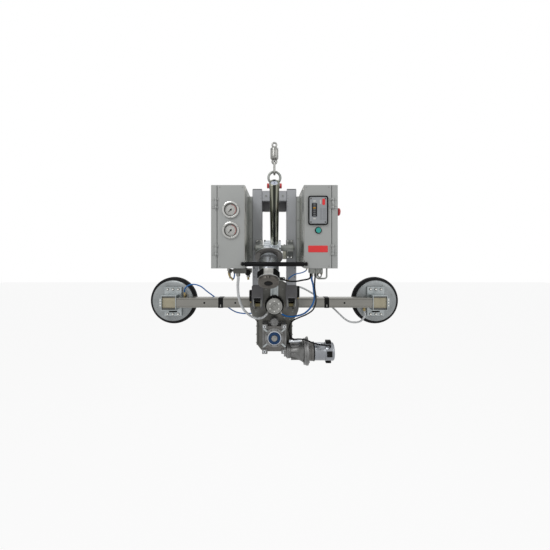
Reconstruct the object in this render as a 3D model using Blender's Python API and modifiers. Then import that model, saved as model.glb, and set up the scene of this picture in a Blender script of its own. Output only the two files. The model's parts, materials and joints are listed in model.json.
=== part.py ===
"""Battery vacuum glass lifter that hangs from a hoist.

The row frame has its origin at the centre of the hoist eye. +Z is up, +X is to the operator's
right as seen from the front, and +Y runs from the operator's side to the glass.
All sizes are in metres.
"""

import math

import bmesh
import bpy
from mathutils import Matrix, Vector

# Clearances
SEAT = 0.0003
RUN = 0.0005
OVERLAP = 0.001

# Rounded edges and cutters
FINE_EDGE = 0.001
EDGE = 0.002
ROUND_EDGE = 0.003
CASTING_EDGE = 0.006
GEARBOX_EDGE = 0.010
THROUGH = 0.2
SHORT_CUT = 0.02

# Hoist gear
EYE_RADIUS = 0.012
EYE_WIRE = 0.005
SWIVEL_TOP = -0.018
SWIVEL_HEIGHT = 0.066
SWIVEL_RADIUS = 0.023
SWIVEL_NECK = 0.009
SWIVEL_STEM = 0.028
SWIVEL_RING = 0.0130
SWIVEL_RING_WIRE = 0.0045
LINK_RADIUS = 0.0140
LINK_WIRE = 0.0065
SHACKLE_PIN_Z = -0.233
SHACKLE_PIN_RADIUS = 0.010
SHACKLE_HEAD_RADIUS = 0.015
SHACKLE_HEAD_LENGTH = 0.012
SHACKLE_WIRE = 0.007
SHACKLE_BOW_RADIUS = 0.0335
SHACKLE_JAW = 0.0225
SHACKLE_EAR = 0.015
SHACKLE_EAR_RADIUS = 0.017
SHACKLE_TOP = -0.146
SHACKLE_MOUTH = 0.016
SHACKLE_BOW_END = -45
LINK_BOTTOM = SHACKLE_TOP - 2 * SHACKLE_WIRE - SEAT - LINK_WIRE

# Frame
FRAME_FRONT = 0.0
UPRIGHT_INNER = 0.070
UPRIGHT_WIDTH = 0.055
UPRIGHT_DEPTH = 0.100
UPRIGHT_TOP = -0.252
UPRIGHT_BOTTOM = -0.932
UPRIGHT_WALL = 0.005
FORK_TOP = -0.870
CROSSBAR_FRONT_TOP = -0.260
CROSSBAR_FRONT_HEIGHT = 0.059
CROSSBAR_DEPTH = 0.040
CROSSBAR_REAR_TOP = -0.307
CROSSBAR_REAR_HEIGHT = 0.062
CROSSBAR_WALL = 0.004
LUG_THICKNESS = 0.016
LUG_RADIUS = 0.024

# Control cases
CASE_INNER = 0.143
CASE_WIDTH = 0.132
CASE_FRONT = -0.270
CASE_DEPTH = 0.400
CASE_TOP = -0.286
CASE_HEIGHT = 0.3995
CASE_BOTTOM = CASE_TOP - CASE_HEIGHT
CASE_WALL = 0.0025
CASE_LIP = 0.012
DOOR_THICKNESS = 0.028
DOOR_WALL = 0.002
DOOR_LIP = 0.012
HINGE_LEVELS = (-0.374, -0.596)
HINGE_HEIGHT = 0.050
HINGE_BARREL = 0.0055
HINGE_AXIS_OUT = 0.0045
HINGE_AXIS_FORE = 0.0065
HINGE_PIN = 0.002
HINGE_LEAF = 0.024
HINGE_LEAF_THICKNESS = 0.003
RAIL_DEPTH = 0.060
RAIL_FRONT = 0.004
RAIL_TOP = CASE_TOP - 0.006
RAIL_BOTTOM = CASE_BOTTOM + 0.0135

# Fittings on the case fronts
GAUGE_X = 0.2085
GAUGE_LEVELS = (-0.405, -0.503)
GAUGE_FLANGE = 0.041
GAUGE_FLANGE_THICKNESS = 0.009
GAUGE_DIAL = 0.027
GAUGE_DIAL_DEPTH = 0.006
GAUGE_BODY = 0.034
GAUGE_BODY_LENGTH = 0.034
GAUGE_BOSS = 0.0015
NEEDLE_LENGTH = 0.019
NEEDLE_TAIL = 0.007
NEEDLE_THICKNESS = 0.001
NEEDLE_HUB = 0.004
NEEDLE_REST = 225
PANEL_X = 0.2085
PANEL_Z = -0.408
PANEL_WIDTH = 0.095
PANEL_HEIGHT = 0.139
PANEL_THICKNESS = 0.010
PANEL_RECESS = 0.002
PANEL_RIM = 0.006
BUTTON_X = 0.210
BUTTON_Z = -0.503
BUTTON_RADIUS = 0.0125
BUTTON_COLLAR = 0.0155
BUTTON_COLLAR_HEIGHT = 0.005
BUTTON_HEAD = 0.005
BUTTON_FLOOR = 0.0005
BUTTON_TRAVEL = 0.003
BUTTON_STEM = 0.006
BUTTON_NECK = 0.011
BUTTON_DEPTH = 0.030
STOP_Y = -0.160
STOP_Z = -0.401
STOP_HEAD = 0.020
STOP_HEAD_HEIGHT = 0.015
STOP_COLLAR = 0.0145
STOP_COLLAR_HEIGHT = 0.016
STOP_STEM = 0.008
STOP_NECK = 0.0125
STOP_DEPTH = 0.020
STOP_TRAVEL = 0.005
HANDLE_RADIUS = 0.0105
HANDLE_Y = -0.292
HANDLE_Z = CASE_BOTTOM + 0.0215
HANDLE_END = 0.152
HANDLE_FOOT = 0.008

# Inside the cases
BATTERY_SIZE = (0.080, 0.151, 0.098)
BATTERY_GAP = 0.010
BATTERY_SETBACK = 0.050
PUMP_LENGTH = 0.150
PUMP_RADIUS = 0.036
PUMP_HEAD = 0.086
PUMP_HEAD_DEPTH = 0.060
PUMP_FOOT = 0.010
PUMP_Y = -0.180

# Tilt actuator
TRUNNION_Y = -0.100
TRUNNION_Z = -0.587
TRUNNION_RADIUS = 0.011
TUBE_RADIUS = 0.021
TUBE_REACH = 0.440
TUBE_FOOT = 0.012
TUBE_TAPER = 0.034
TUBE_BORE = 0.009
TUBE_END_RECESS = 0.004
TUBE_END_WALL = 0.014
GEARCASE_LEFT = -0.060
GEARCASE_RIGHT = 0.035
GEARCASE_NOSE = 0.034
GEARCASE_REAR = 0.046
GEARCASE_MOTOR_SIDE = 0.040
GEARCASE_BACK_SIDE = 0.030
GEARCASE_RIBS = 4
MOTOR_X = -0.029
MOTOR_FLANGE = 0.074
MOTOR_FLANGE_AT = 0.052
MOTOR_FLANGE_THICKNESS = 0.012
MOTOR_NECK = 0.043
MOTOR_CAN = 0.052
MOTOR_CAN_AT = 0.082
MOTOR_CAP_AT = 0.148
MOTOR_END = 0.224
MOTOR_END_HOLE = 0.019
BRUSH_LENGTH = 0.050
BRUSH_TILT_PROUD = 0.003
ROD_RADIUS = 0.014
ROD_EYE_RADIUS = 0.017
ROD_EYE_HALF = 0.012
ROD_PIN = 0.008
BRACKET_X = 0.0855
BRACKET_HALF = 0.0195
BRACKET_TOP = -0.540
BRACKET_HEIGHT = 0.104
BRACKET_PLATE = 0.008
BRACKET_NOSE = 0.022

# Tilt hinge and rod pin, on the tilt frame
TILT_Y = 0.050
TILT_Z = -0.915
TILT_PIN_RADIUS = 0.010
TILT_PIN_PROUD = 0.005
EAR_OFFSETS = (0.0800, 0.1150)
EAR_HALF = 0.004
EAR_RADIUS = 0.022
ROD_PIN_Y = 0.100
ROD_PIN_Z = -0.747
CLEVIS_INNER = 0.0157
CLEVIS_EAR = 0.0075
CLEVIS_NOSE = 0.017
CLEVIS_BOTTOM = -0.872

# Tilt frame
AXIS_Z = -0.930
PLATE_FRONT = 0.130
PLATE_THICKNESS = 0.018
PLATE_LOBE = 0.151
PLATE_HALF = 0.109
PLATE_CORNER_Z = -1.171
PLATE_BOTTOM_Z = -1.209
PLATE_BOTTOM_HALF = 0.080
PLATE_RIB = 0.008
PLATE_RIB_DEPTH = 0.022
PLATE_RIB_TOP = -1.030
UNION_RADIUS = 0.048
UNION_RING = 0.056
UNION_FRONT = 0.066
UNION_RING_FRONT = 0.092
UNION_RING_DEPTH = 0.016
UNION_PLUG = 0.010
SPINDLE_RADIUS = 0.026

# Worm gearbox and rotation motor
OUTPUT_Z = -1.108
GEARBOX_HALF = 0.072
GEARBOX_FRONT = 0.036
GEARBOX_TOP = -1.030
GEARBOX_BOTTOM = -1.203
GEARBOX_NOTCH = 0.028
GEARBOX_NOTCH_HEIGHT = 0.018
GEARBOX_BOSS = 0.023
GEARBOX_BOSS_Z = -1.020
GEARBOX_RIM = 0.0395
GEARBOX_RIM_HEIGHT = 0.005
SEAL_RADIUS = 0.036
SEAL_HEIGHT = 0.004
SHAFT_RADIUS = 0.018
SHAFT_PROUD = 0.002
DRIVE_Y = 0.065
DRIVE_Z = -1.195
DRIVE_INPUT = 0.040
BELL_START = 0.0835
BELL_END = 0.171
BELL_SMALL = 0.039
BELL_LARGE = 0.060
DRIVE_FLANGE = 0.079
DRIVE_FLANGE_END = 0.198
DRIVE_ADAPTER = 0.054
DRIVE_ADAPTER_END = 0.231
DRIVE_CAN = 0.051
DRIVE_CAN_END = 0.296
DRIVE_CAP = 0.053
DRIVE_END = 0.349
BRUSH_WIDTH = 0.034
BRUSH_PROUD = 0.012

# Ring gear and pinion
GEAR_MODULE = 0.004
RING_TEETH = 66
PINION_TEETH = 23
GEAR_BACK = 0.172
GEAR_THICKNESS = 0.016
GEAR_BACKLASH = 0.0004
RING_WINDOWS = 6
RING_WINDOW_RADIUS = 0.022
HUB_RADIUS = 0.062

# Rotor: beam, sockets and pads
BEAM_SIZE = 0.060
BEAM_FRONT = 0.180
BEAM_WALL = 0.004
BEAM_GROOVE = 0.0012
BEAM_HOLES = (0.246, 0.441)
BEAM_HOLE_RADIUS = 0.0055
PAD_X = 0.665
SOCKET_SIZE = 0.095
SOCKET_FRONT = 0.175
SOCKET_DEPTH = 0.0663
SOCKET_RIM = 0.005
SOCKET_RECESS = 0.012
STOP_BLOCK_WIDTH = 0.016
STOP_BLOCK_HEIGHT = 0.060
CHANNEL_X = 0.658
CHANNEL_WIDTH = 0.112
CHANNEL_HEIGHT = 0.188
CHANNEL_WALL = 0.004
DISC_FRONT = 0.255
DISC_RADIUS = 0.133
DISC_THICKNESS = 0.012
DISC_DISH = 0.004
LIP_RADIUS = 0.1535
LIP_INNER = 0.121
LIP_DEPTH = 0.038
PAD_PORT_X = 0.084
PAD_PORT_Y = 0.232
PAD_PORT_Z = 0.038
PAD_PORT_RADIUS = 0.007
PAD_PORT_LENGTH = 0.007

# Below the cases
MANIFOLD_LEFT = (-0.200, -0.136)
MANIFOLD_RIGHT = (0.171, 0.236)
MANIFOLD_Y = (-0.245, -0.190)
MANIFOLD_HEIGHT = 0.026
GUARD_DROP = 0.050
SWITCH_RADIUS = 0.0098
SWITCH_LENGTH = 0.066
SWITCH_Y = 0.020
SWITCH_TOPS = {"left": -0.827, "right": -0.805}
LIMIT_SWITCH = (0.023, 0.032, 0.074)
LIMIT_SWITCH_TOP = -0.576

# Lines
BLUE_HOSE = 0.008
GREY_HOSE = 0.012
CLEAR_HOSE = 0.014
FEED_HOSE = 0.010
SMALL_HOSE = 0.006
CABLE = 0.008
ROUTE_STEP = 4.0
ROUTES_CASE_BOTTOM = -0.6855

LEFT_PAD_ROUTE = [
    (-0.581, 0.232, -0.8845), (-0.581, 0.2319, -0.8720), (-0.5785, 0.226, -0.856),
    (-0.570, 0.218, -0.840), (-0.545, 0.206, -0.822),
    (-0.5096, 0.200, -0.8156), (-0.4684, 0.208, -0.830), (-0.4351, 0.230, -0.8636),
    (-0.3845, 0.252, -0.9078),
    (-0.3428, 0.256, -0.9437), (-0.2967, 0.250, -0.9746), (-0.2485, 0.225, -0.9955),
    (-0.1956, 0.207, -1.0016),
    (-0.140, 0.204, -0.999), (-0.098, 0.208, -0.992), (-0.0725, 0.210, -0.979), (-0.072, 0.210, -0.9608),
]
RIGHT_PAD_ROUTE = [
    (0.581, 0.232, -0.9755), (0.581, 0.2319, -0.9880), (0.5835, 0.228, -1.004),
    (0.5750, 0.218, -1.0285), (0.5492, 0.207, -1.0510),
    (0.5142, 0.204, -1.0583), (0.4792, 0.208, -1.0539), (0.4495, 0.222, -1.0375),
    (0.4211, 0.242, -1.0116),
    (0.3784, 0.256, -0.9715), (0.331, 0.259, -0.9372), (0.2886, 0.254, -0.9071), (0.228, 0.228, -0.8660),
    (0.170, 0.210, -0.836), (0.120, 0.206, -0.828), (0.086, 0.208, -0.842), (0.072, 0.210, -0.870),
    (0.070, 0.210, -0.8992),
]
CLEAR_ROUTE = [
    (-0.1792, -0.220, -0.7124), (-0.1792, -0.2195, -0.7240), (-0.1804, -0.208, -0.742),
    (-0.187, -0.170, -0.775), (-0.191, -0.130, -0.815),
    (-0.1916, -0.090, -0.852), (-0.1871, -0.045, -0.893), (-0.1745, 0.000, -0.9353),
    (-0.1549, 0.035, -0.9672),
    (-0.1296, 0.062, -0.9918), (-0.0982, 0.080, -1.0040), (-0.0672, 0.088, -1.0000),
    (-0.0434, 0.080, -0.9770),
    (-0.0329, 0.080, -0.9656),
]
FEED_ROUTE = [
    (0.1856, -0.220, -0.7124), (0.1856, -0.2195, -0.7240), (0.1871, -0.200, -0.7440),
    (0.1998, -0.160, -0.7783), (0.2101, -0.110, -0.8235),
    (0.2167, -0.080, -0.8544), (0.2152, -0.050, -0.8862), (0.2068, -0.020, -0.9161),
    (0.191, 0.010, -0.9441),
    (0.1706, 0.035, -0.9666), (0.1342, 0.060, -0.9849), (0.0940, 0.078, -0.9930),
    (0.0640, 0.084, -0.9890),
    (0.0434, 0.080, -0.9770), (0.0329, 0.080, -0.9656),
]
DRIVE_CABLE_ROUTE = [
    (0.2010, -0.2300, -0.7124), (0.2010, -0.2292, -0.7240), (0.2010, -0.2120, -0.749),
    (0.2060, -0.170, -0.790), (0.2200, -0.110, -0.842),
    (0.2280, -0.050, -0.890), (0.2180, 0.000, -0.938), (0.1850, 0.040, -0.973), (0.1400, 0.072, -1.000),
    (0.1130, 0.086, -1.0180), (0.0950, 0.092, -1.0420), (0.0880, 0.092, -1.0720),
    (0.0900, 0.088, -1.0980),
    (0.0980, 0.070, -1.1120), (0.1130, 0.040, -1.1160), (0.1400, 0.005, -1.1050),
    (0.1750, -0.020, -1.1020),
    (0.2150, -0.022, -1.1180), (0.2550, -0.024, -1.1280), (0.2850, -0.019, -1.1330),
    (0.3060, -0.006, -1.1380),
    (0.3190, 0.008, -1.1410), (0.3220, 0.0166, -1.1466), (0.3220, 0.0272, -1.1572),
]
TILT_CABLE_ROUTE = [
    (0.0268, -0.2200, -0.7400), (0.0380, -0.2197, -0.7404), (0.0530, -0.2150, -0.7470),
    (0.0750, -0.2080, -0.7530), (0.1069, -0.2040, -0.7540),
    (0.1400, -0.2060, -0.7480), (0.1700, -0.2200, -0.7400), (0.1780, -0.2349, -0.7260),
    (0.1780, -0.2350, -0.7124),
]
SMALL_LINE_ROUTE = [
    (0.0769, -0.0050, -0.7750), (0.0800, -0.0150, -0.7600), (0.0955, -0.0350, -0.7433),
    (0.1168, -0.060, -0.7290),
    (0.1454, -0.090, -0.7200), (0.1640, -0.098, -0.7110), (0.1735, -0.100, -0.7000),
    (0.1740, -0.100, -0.6861),
]

# Colours, linear RGB, with roughness and metallic
FINISHES = {
    "case_paint": ((0.36, 0.37, 0.36), 0.45, 0.2),
    "frame_paint": ((0.22, 0.25, 0.28), 0.5, 0.2),
    "zinc": ((0.50, 0.50, 0.46), 0.4, 0.9),
    "chrome": ((0.75, 0.75, 0.75), 0.12, 1.0),
    "aluminium": ((0.62, 0.62, 0.60), 0.35, 0.9),
    "cast_aluminium": ((0.50, 0.50, 0.48), 0.5, 0.8),
    "steel": ((0.42, 0.42, 0.42), 0.35, 0.9),
    "black_plastic": ((0.02, 0.02, 0.02), 0.5, 0.0),
    "rubber": ((0.03, 0.03, 0.03), 0.75, 0.0),
    "red_plastic": ((0.55, 0.02, 0.02), 0.35, 0.0),
    "green_plastic": ((0.02, 0.30, 0.22), 0.35, 0.0),
    "beige_plastic": ((0.55, 0.48, 0.34), 0.5, 0.0),
    "navy_plastic": ((0.02, 0.04, 0.14), 0.5, 0.0),
    "blue_hose": ((0.01, 0.15, 0.45), 0.35, 0.0),
    "clear_hose": ((0.60, 0.62, 0.60), 0.3, 0.0),
    "battery_case": ((0.05, 0.06, 0.08), 0.6, 0.0),
}

MODEL = "battery_vacuum_glass_lifter"
SIDES = 16
SMALL_SIDES = 12
TINY_SIDES = 8
PAD_SIDES = 24


def clear_scene():
    """Remove every object that the file holds."""
    for obj in list(bpy.data.objects):
        bpy.data.objects.remove(obj, do_unlink=True)


def new_collection(name):
    """Return a new collection under the scene."""
    collection = bpy.data.collections.new(name)
    bpy.context.scene.collection.children.link(collection)
    return collection


clear_scene()
PARTS = new_collection(MODEL)
CUTTERS = new_collection("cutters")


# Modelling helpers


def finish_material(name):
    """Return the material of a finish, made once."""
    found = bpy.data.materials.get(name)
    if found:
        return found
    colour, roughness, metallic = FINISHES[name]
    material = bpy.data.materials.new(name)
    material.use_nodes = True
    shader = material.node_tree.nodes["Principled BSDF"]
    shader.inputs["Base Color"].default_value = (*colour, 1.0)
    shader.inputs["Roughness"].default_value = roughness
    shader.inputs["Metallic"].default_value = metallic
    return material


def own_material(obj, finish):
    """Give the object a material of its own, copied from a finish."""
    material = finish_material(finish).copy()
    material.name = obj.name + "_finish"
    obj.data.materials.clear()
    obj.data.materials.append(material)


def add_object(name, data, matrix=None):
    """Link new data to the parts collection as an object."""
    obj = bpy.data.objects.new(name, data)
    PARTS.objects.link(obj)
    if matrix is not None:
        obj.matrix_world = matrix
    return obj


def mesh_from(name, bm, matrix):
    """Turn a bmesh into a placed object."""
    mesh = bpy.data.meshes.new(name)
    bm.to_mesh(mesh)
    bm.free()
    return add_object(name, mesh, matrix)


def pose(centre, direction=(0, 0, 1)):
    """Return a matrix at centre whose Z axis lies along direction."""
    turn = Vector(direction).to_track_quat("Z", "Y").to_matrix().to_4x4()
    return Matrix.Translation(Vector(centre)) @ turn


def block(name, x, y, z, bevel=0.0, matrix=None):
    """Add a box between the given limits, with an optional bevel."""
    size = (x[1] - x[0], y[1] - y[0], z[1] - z[0])
    centre = ((x[0] + x[1]) / 2, (y[0] + y[1]) / 2, (z[0] + z[1]) / 2)
    bm = bmesh.new()
    bmesh.ops.create_cube(bm, size=1.0)
    bmesh.ops.scale(bm, vec=size, verts=bm.verts)
    place = Matrix.Translation(Vector(centre))
    obj = mesh_from(name, bm, matrix @ place if matrix else place)
    if bevel:
        soften(obj, bevel)
    return obj


def soften(obj, width, segments=1, angle=40):
    """Round the object's sharp edges."""
    modifier = obj.modifiers.new("edges", "BEVEL")
    modifier.width = width
    modifier.segments = segments
    modifier.limit_method = "ANGLE"
    modifier.angle_limit = math.radians(angle)


def drum(name, centre, radius, length, direction=(0, 0, 1), sides=SIDES, end_radius=None):
    """Add a cylinder or a cone, centred, along direction."""
    bm = bmesh.new()
    far = radius if end_radius is None else end_radius
    bmesh.ops.create_cone(
        bm, cap_ends=True, segments=sides, radius1=radius, radius2=far, depth=length)
    obj = mesh_from(name, bm, pose(centre, direction))
    smooth(obj)
    return obj


def bore_cutter(name, centre, radius, length, direction=(0, 0, 1), sides=SMALL_SIDES):
    """Add a cutter whose flats lie at the given radius, so that a round piece of that radius clears it."""
    return drum(name, centre, radius / math.cos(math.pi / sides), length, direction, sides)


def smooth(obj, angle=35):
    """Shade round faces smooth and keep sharp edges."""
    obj.data.shade_smooth()
    obj.data.set_sharp_from_angle(angle=math.radians(angle))


def turned(name, profile, centre, direction=(0, 0, 1), sides=SIDES):
    """Add a turned solid from (radius, height) points that run from its top to its bottom."""
    mesh = bpy.data.meshes.new(name)
    points = [(radius, 0.0, height) for radius, height in profile]
    edges = [(i, i + 1) for i in range(len(points) - 1)]
    if profile[0][0] > 0:
        edges.append((len(points) - 1, 0))
    mesh.from_pydata(points, edges, [])
    obj = add_object(name, mesh, pose(centre, direction))
    modifier = obj.modifiers.new("turn", "SCREW")
    modifier.steps = sides
    modifier.render_steps = sides
    modifier.use_merge_vertices = True
    modifier.merge_threshold = 0.00001
    modifier.use_smooth_shade = True
    return obj


def arc(centre, radius, start, end, count):
    """Return points on an arc, in degrees, both ends included."""
    points = []
    for i in range(count + 1):
        angle = math.radians(start + (end - start) * i / count)
        points.append((centre[0] + radius * math.cos(angle), centre[1] + radius * math.sin(angle)))
    return points


def slab(name, outlines, thickness, matrix):
    """Add a flat plate from closed outlines in the plane of the matrix, centred on that plane."""
    curve = bpy.data.curves.new(name + "_outline", "CURVE")
    curve.dimensions = "2D"
    curve.fill_mode = "BOTH"
    curve.extrude = thickness / 2
    for outline in outlines:
        spline = curve.splines.new("POLY")
        spline.points.add(len(outline) - 1)
        for point, (u, v) in zip(spline.points, outline):
            point.co = (u, v, 0.0, 1.0)
        spline.use_cyclic_u = True
    return solid_from_curve(name, curve, matrix)


def solid_from_curve(name, curve, matrix):
    """Turn a curve into a welded mesh object at the matrix."""
    guide = bpy.data.objects.new(name + "_guide", curve)
    CUTTERS.objects.link(guide)
    depsgraph = bpy.context.evaluated_depsgraph_get()
    mesh = bpy.data.meshes.new_from_object(guide.evaluated_get(depsgraph))
    bpy.data.objects.remove(guide, do_unlink=True)
    bm = bmesh.new()
    bm.from_mesh(mesh)
    bmesh.ops.remove_doubles(bm, verts=bm.verts, dist=0.000001)
    bm.to_mesh(mesh)
    bm.free()
    obj = add_object(name, mesh, matrix)
    smooth(obj)
    return obj


def facing_front(y):
    """Return the matrix of a plane at depth y, drawn as (x, z) and seen from the front."""
    return Matrix(((1, 0, 0, 0), (0, 0, -1, y), (0, 1, 0, 0), (0, 0, 0, 1)))


def facing_side(x):
    """Return the matrix of a plane at x, drawn as (y, z)."""
    return Matrix(((0, 0, 1, x), (1, 0, 0, 0), (0, 1, 0, 0), (0, 0, 0, 1)))


def bent_tube(name, points, radius, resolution=3):
    """Add a round bar along straight or curved points, as a welded mesh."""
    curve = tube_curve(name, points, radius, resolution)
    return solid_from_curve(name, curve, Matrix.Identity(4))


def tube_curve(name, points, radius, resolution):
    """Return a round tube curve through the points, with filled ends."""
    curve = bpy.data.curves.new(name, "CURVE")
    curve.dimensions = "3D"
    curve.bevel_depth = radius
    curve.bevel_resolution = resolution
    curve.use_fill_caps = True
    spline = curve.splines.new("POLY")
    spline.points.add(len(points) - 1)
    for point, place in zip(spline.points, points):
        point.co = (*place, 1.0)
    return curve


def as_tool(obj):
    """Move an object to the cutters, where it is neither shown nor built."""
    PARTS.objects.unlink(obj)
    CUTTERS.objects.link(obj)
    obj.hide_render = True
    obj.display_type = "WIRE"


def subtract(obj, *cutters):
    """Cut each cutter out of the object."""
    for cutter in cutters:
        modifier = obj.modifiers.new("cut", "BOOLEAN")
        modifier.operation = "DIFFERENCE"
        modifier.solver = "EXACT"
        modifier.object = cutter
        as_tool(cutter)


def weld(obj, *others):
    """Join each other solid to the object."""
    for other in others:
        modifier = obj.modifiers.new("weld", "BOOLEAN")
        modifier.operation = "UNION"
        modifier.solver = "EXACT"
        modifier.object = other
        as_tool(other)


def smooth_route(points, spacing, lead):
    """Return points about a spacing apart on a smooth curve, with a straight lead at each end."""
    knots = [Vector(point) for point in points]
    knots = [2 * knots[0] - knots[1]] + knots + [2 * knots[-1] - knots[-2]]
    fine = []
    for i in range(1, len(knots) - 2):
        before, start, end, after = knots[i - 1:i + 3]
        for step in range(12):
            t = step / 12
            fine.append(0.5 * (2 * start + (end - before) * t
                               + (2 * before - 5 * start + 4 * end - after) * t * t
                               + (3 * start - before - 3 * end + after) * t ** 3))
    first, last = knots[1], knots[-2]
    route = []
    travelled = 0.0
    for previous, point in zip(fine, fine[1:]):
        travelled += (point - previous).length
        clear = min((point - first).length, (point - last).length) > lead + spacing / 2
        if travelled >= spacing and clear:
            route.append(point)
            travelled = 0.0
    start_lead = first + lead * (knots[2] - first).normalized()
    end_lead = last + lead * (knots[-3] - last).normalized()
    return [first, start_lead] + route + [end_lead, last]


def follow_case(points, end):
    """Let the end of a route that is fastened under a case keep to the case's floor."""
    drop = CASE_BOTTOM - ROUTES_CASE_BOTTOM
    steps = len(points) - 3
    moved = []
    for i, (x, y, z) in enumerate(points):
        near = i if end == "first" else len(points) - 1 - i
        share = min(1.0, 1.0 - (near - 2) / steps)
        moved.append((x, y, z + share * drop))
    return moved


def line(name, points, diameter, finish):
    """Add a hose or cable along its route."""
    route = smooth_route(points, diameter * ROUTE_STEP, diameter)
    curve = tube_curve(name, route, diameter / 2, 2)
    obj = add_object(name, curve)
    own_material(obj, finish)
    return obj


def mirrored(sign, limits):
    """Return x limits on the side given by sign, low value first."""
    return tuple(sorted((sign * limits[0], sign * limits[1])))


def side_name(sign):
    """Return the word for a side."""
    return "left" if sign < 0 else "right"


# Hoist gear


def ring(name, centre, radius, wire, axis, sides=SMALL_SIDES, wire_sides=8):
    """Add a round wire ring about an axis."""
    profile = [(radius + x, z) for x, z in arc((0, 0), wire, 90, -270, wire_sides)][:-1]
    return turned(name, profile, centre, axis, sides)


def swivel_eye():
    """Eye that hangs on the hoist's hook, with the stem that the swivel turns on."""
    eye = ring("swivel_eye", (0, 0, 0), EYE_RADIUS, EYE_WIRE, (0, 1, 0))
    stem_bottom = SWIVEL_TOP - SWIVEL_STEM
    stem_top = -EYE_RADIUS
    stem = drum("eye_stem", (0, 0, (stem_top + stem_bottom) / 2), SWIVEL_NECK, stem_top - stem_bottom,
                sides=SMALL_SIDES)
    weld(eye, stem)
    own_material(eye, "chrome")
    return eye


def swivel_body():
    """Barrel that turns on the eye's stem and carries the link in its lower ring."""
    bottom = -SWIVEL_HEIGHT
    bore = SWIVEL_NECK + RUN
    edge = 0.004
    profile = [
        (0, -SWIVEL_STEM - SEAT), (bore, -SWIVEL_STEM - SEAT), (bore, 0), (SWIVEL_RADIUS - edge, 0),
        (SWIVEL_RADIUS, -edge), (SWIVEL_RADIUS, bottom + 2 * edge), (SWIVEL_RADIUS - 2 * edge, bottom),
        (0, bottom),
    ]
    body = turned("swivel_body", profile, (0, 0, SWIVEL_TOP))
    centre_z = SWIVEL_TOP + bottom - SWIVEL_RING + SWIVEL_RING_WIRE / 2
    weld(body, ring("lower_ring", (0, 0, centre_z), SWIVEL_RING, SWIVEL_RING_WIRE, (0, 1, 0)))
    own_material(body, "chrome")
    return body


def lift_link():
    """Oblong link, seen edge-on from the front."""
    ring_bottom = SWIVEL_TOP - SWIVEL_HEIGHT - 2 * SWIVEL_RING + SWIVEL_RING_WIRE * 1.5
    top = ring_bottom + LINK_WIRE + SEAT
    upper = top - LINK_RADIUS
    lower = LINK_BOTTOM + LINK_RADIUS
    path = arc((0, upper), LINK_RADIUS, 0, 180, 10) + arc((0, lower), LINK_RADIUS, 180, 360, 10)
    curve = tube_curve("lift_link", [(0, y, z) for y, z in path], LINK_WIRE, 2)
    curve.splines[0].use_cyclic_u = True
    link = solid_from_curve("lift_link", curve, Matrix.Identity(4))
    own_material(link, "steel")
    return link


def shackle():
    """Bow shackle and the pin that the frame's lug swings on."""
    crown = SHACKLE_TOP - SHACKLE_WIRE - SHACKLE_BOW_RADIUS
    path = arc((0, crown), SHACKLE_BOW_RADIUS, SHACKLE_BOW_END, 180 - SHACKLE_BOW_END, 16)
    path = [(SHACKLE_JAW, SHACKLE_PIN_Z)] + path + [(-SHACKLE_JAW, SHACKLE_PIN_Z)]
    bow = bent_tube("shackle_bow", [(x, 0, z) for x, z in path], SHACKLE_WIRE)
    for sign in (-1, 1):
        centre = (sign * SHACKLE_JAW, 0, SHACKLE_PIN_Z)
        weld(bow, drum("jaw", centre, SHACKLE_EAR_RADIUS, SHACKLE_EAR, (1, 0, 0), SMALL_SIDES))
    hole = bore_cutter("pin_hole", (0, 0, SHACKLE_PIN_Z), SHACKLE_PIN_RADIUS + SEAT, THROUGH, (1, 0, 0),
                       SMALL_SIDES)
    gap = SHACKLE_JAW - SHACKLE_EAR / 2
    reach = 2 * SHACKLE_EAR_RADIUS
    mouth = block("mouth", (-gap, gap), (-reach, reach),
                  (SHACKLE_PIN_Z - reach, SHACKLE_PIN_Z + SHACKLE_MOUTH))
    subtract(bow, mouth, hole)
    own_material(bow, "zinc")

    outside = SHACKLE_JAW + SHACKLE_EAR / 2 + SEAT
    tip = outside + SHACKLE_HEAD_LENGTH
    pin = drum("shackle_pin", (0, 0, SHACKLE_PIN_Z), SHACKLE_PIN_RADIUS, 2 * tip, (1, 0, 0), SMALL_SIDES)
    soften(pin, FINE_EDGE)
    middle = outside + SHACKLE_HEAD_LENGTH / 2
    head = drum("head", (middle, 0, SHACKLE_PIN_Z), SHACKLE_HEAD_RADIUS, SHACKLE_HEAD_LENGTH - 0.001,
                (1, 0, 0), SMALL_SIDES)
    nut = drum("nut", (-middle, 0, SHACKLE_PIN_Z), SHACKLE_HEAD_RADIUS, SHACKLE_HEAD_LENGTH - 0.001,
               (1, 0, 0), 6)
    weld(pin, head, nut)
    own_material(pin, "steel")
    return [bow, pin]


# Frame


def square_tube(name, x, y, z, wall, axis):
    """Add a square tube along x or z, open at both ends."""
    tube = block(name, x, y, z, ROUND_EDGE)
    reach = 0.01
    if axis == "X":
        inner = block("tube_inside", (x[0] - reach, x[1] + reach), (y[0] + wall, y[1] - wall),
                      (z[0] + wall, z[1] - wall))
    else:
        inner = block("tube_inside", (x[0] + wall, x[1] - wall), (y[0] + wall, y[1] - wall),
                      (z[0] - reach, z[1] - wall))
    subtract(tube, inner)
    return tube


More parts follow.
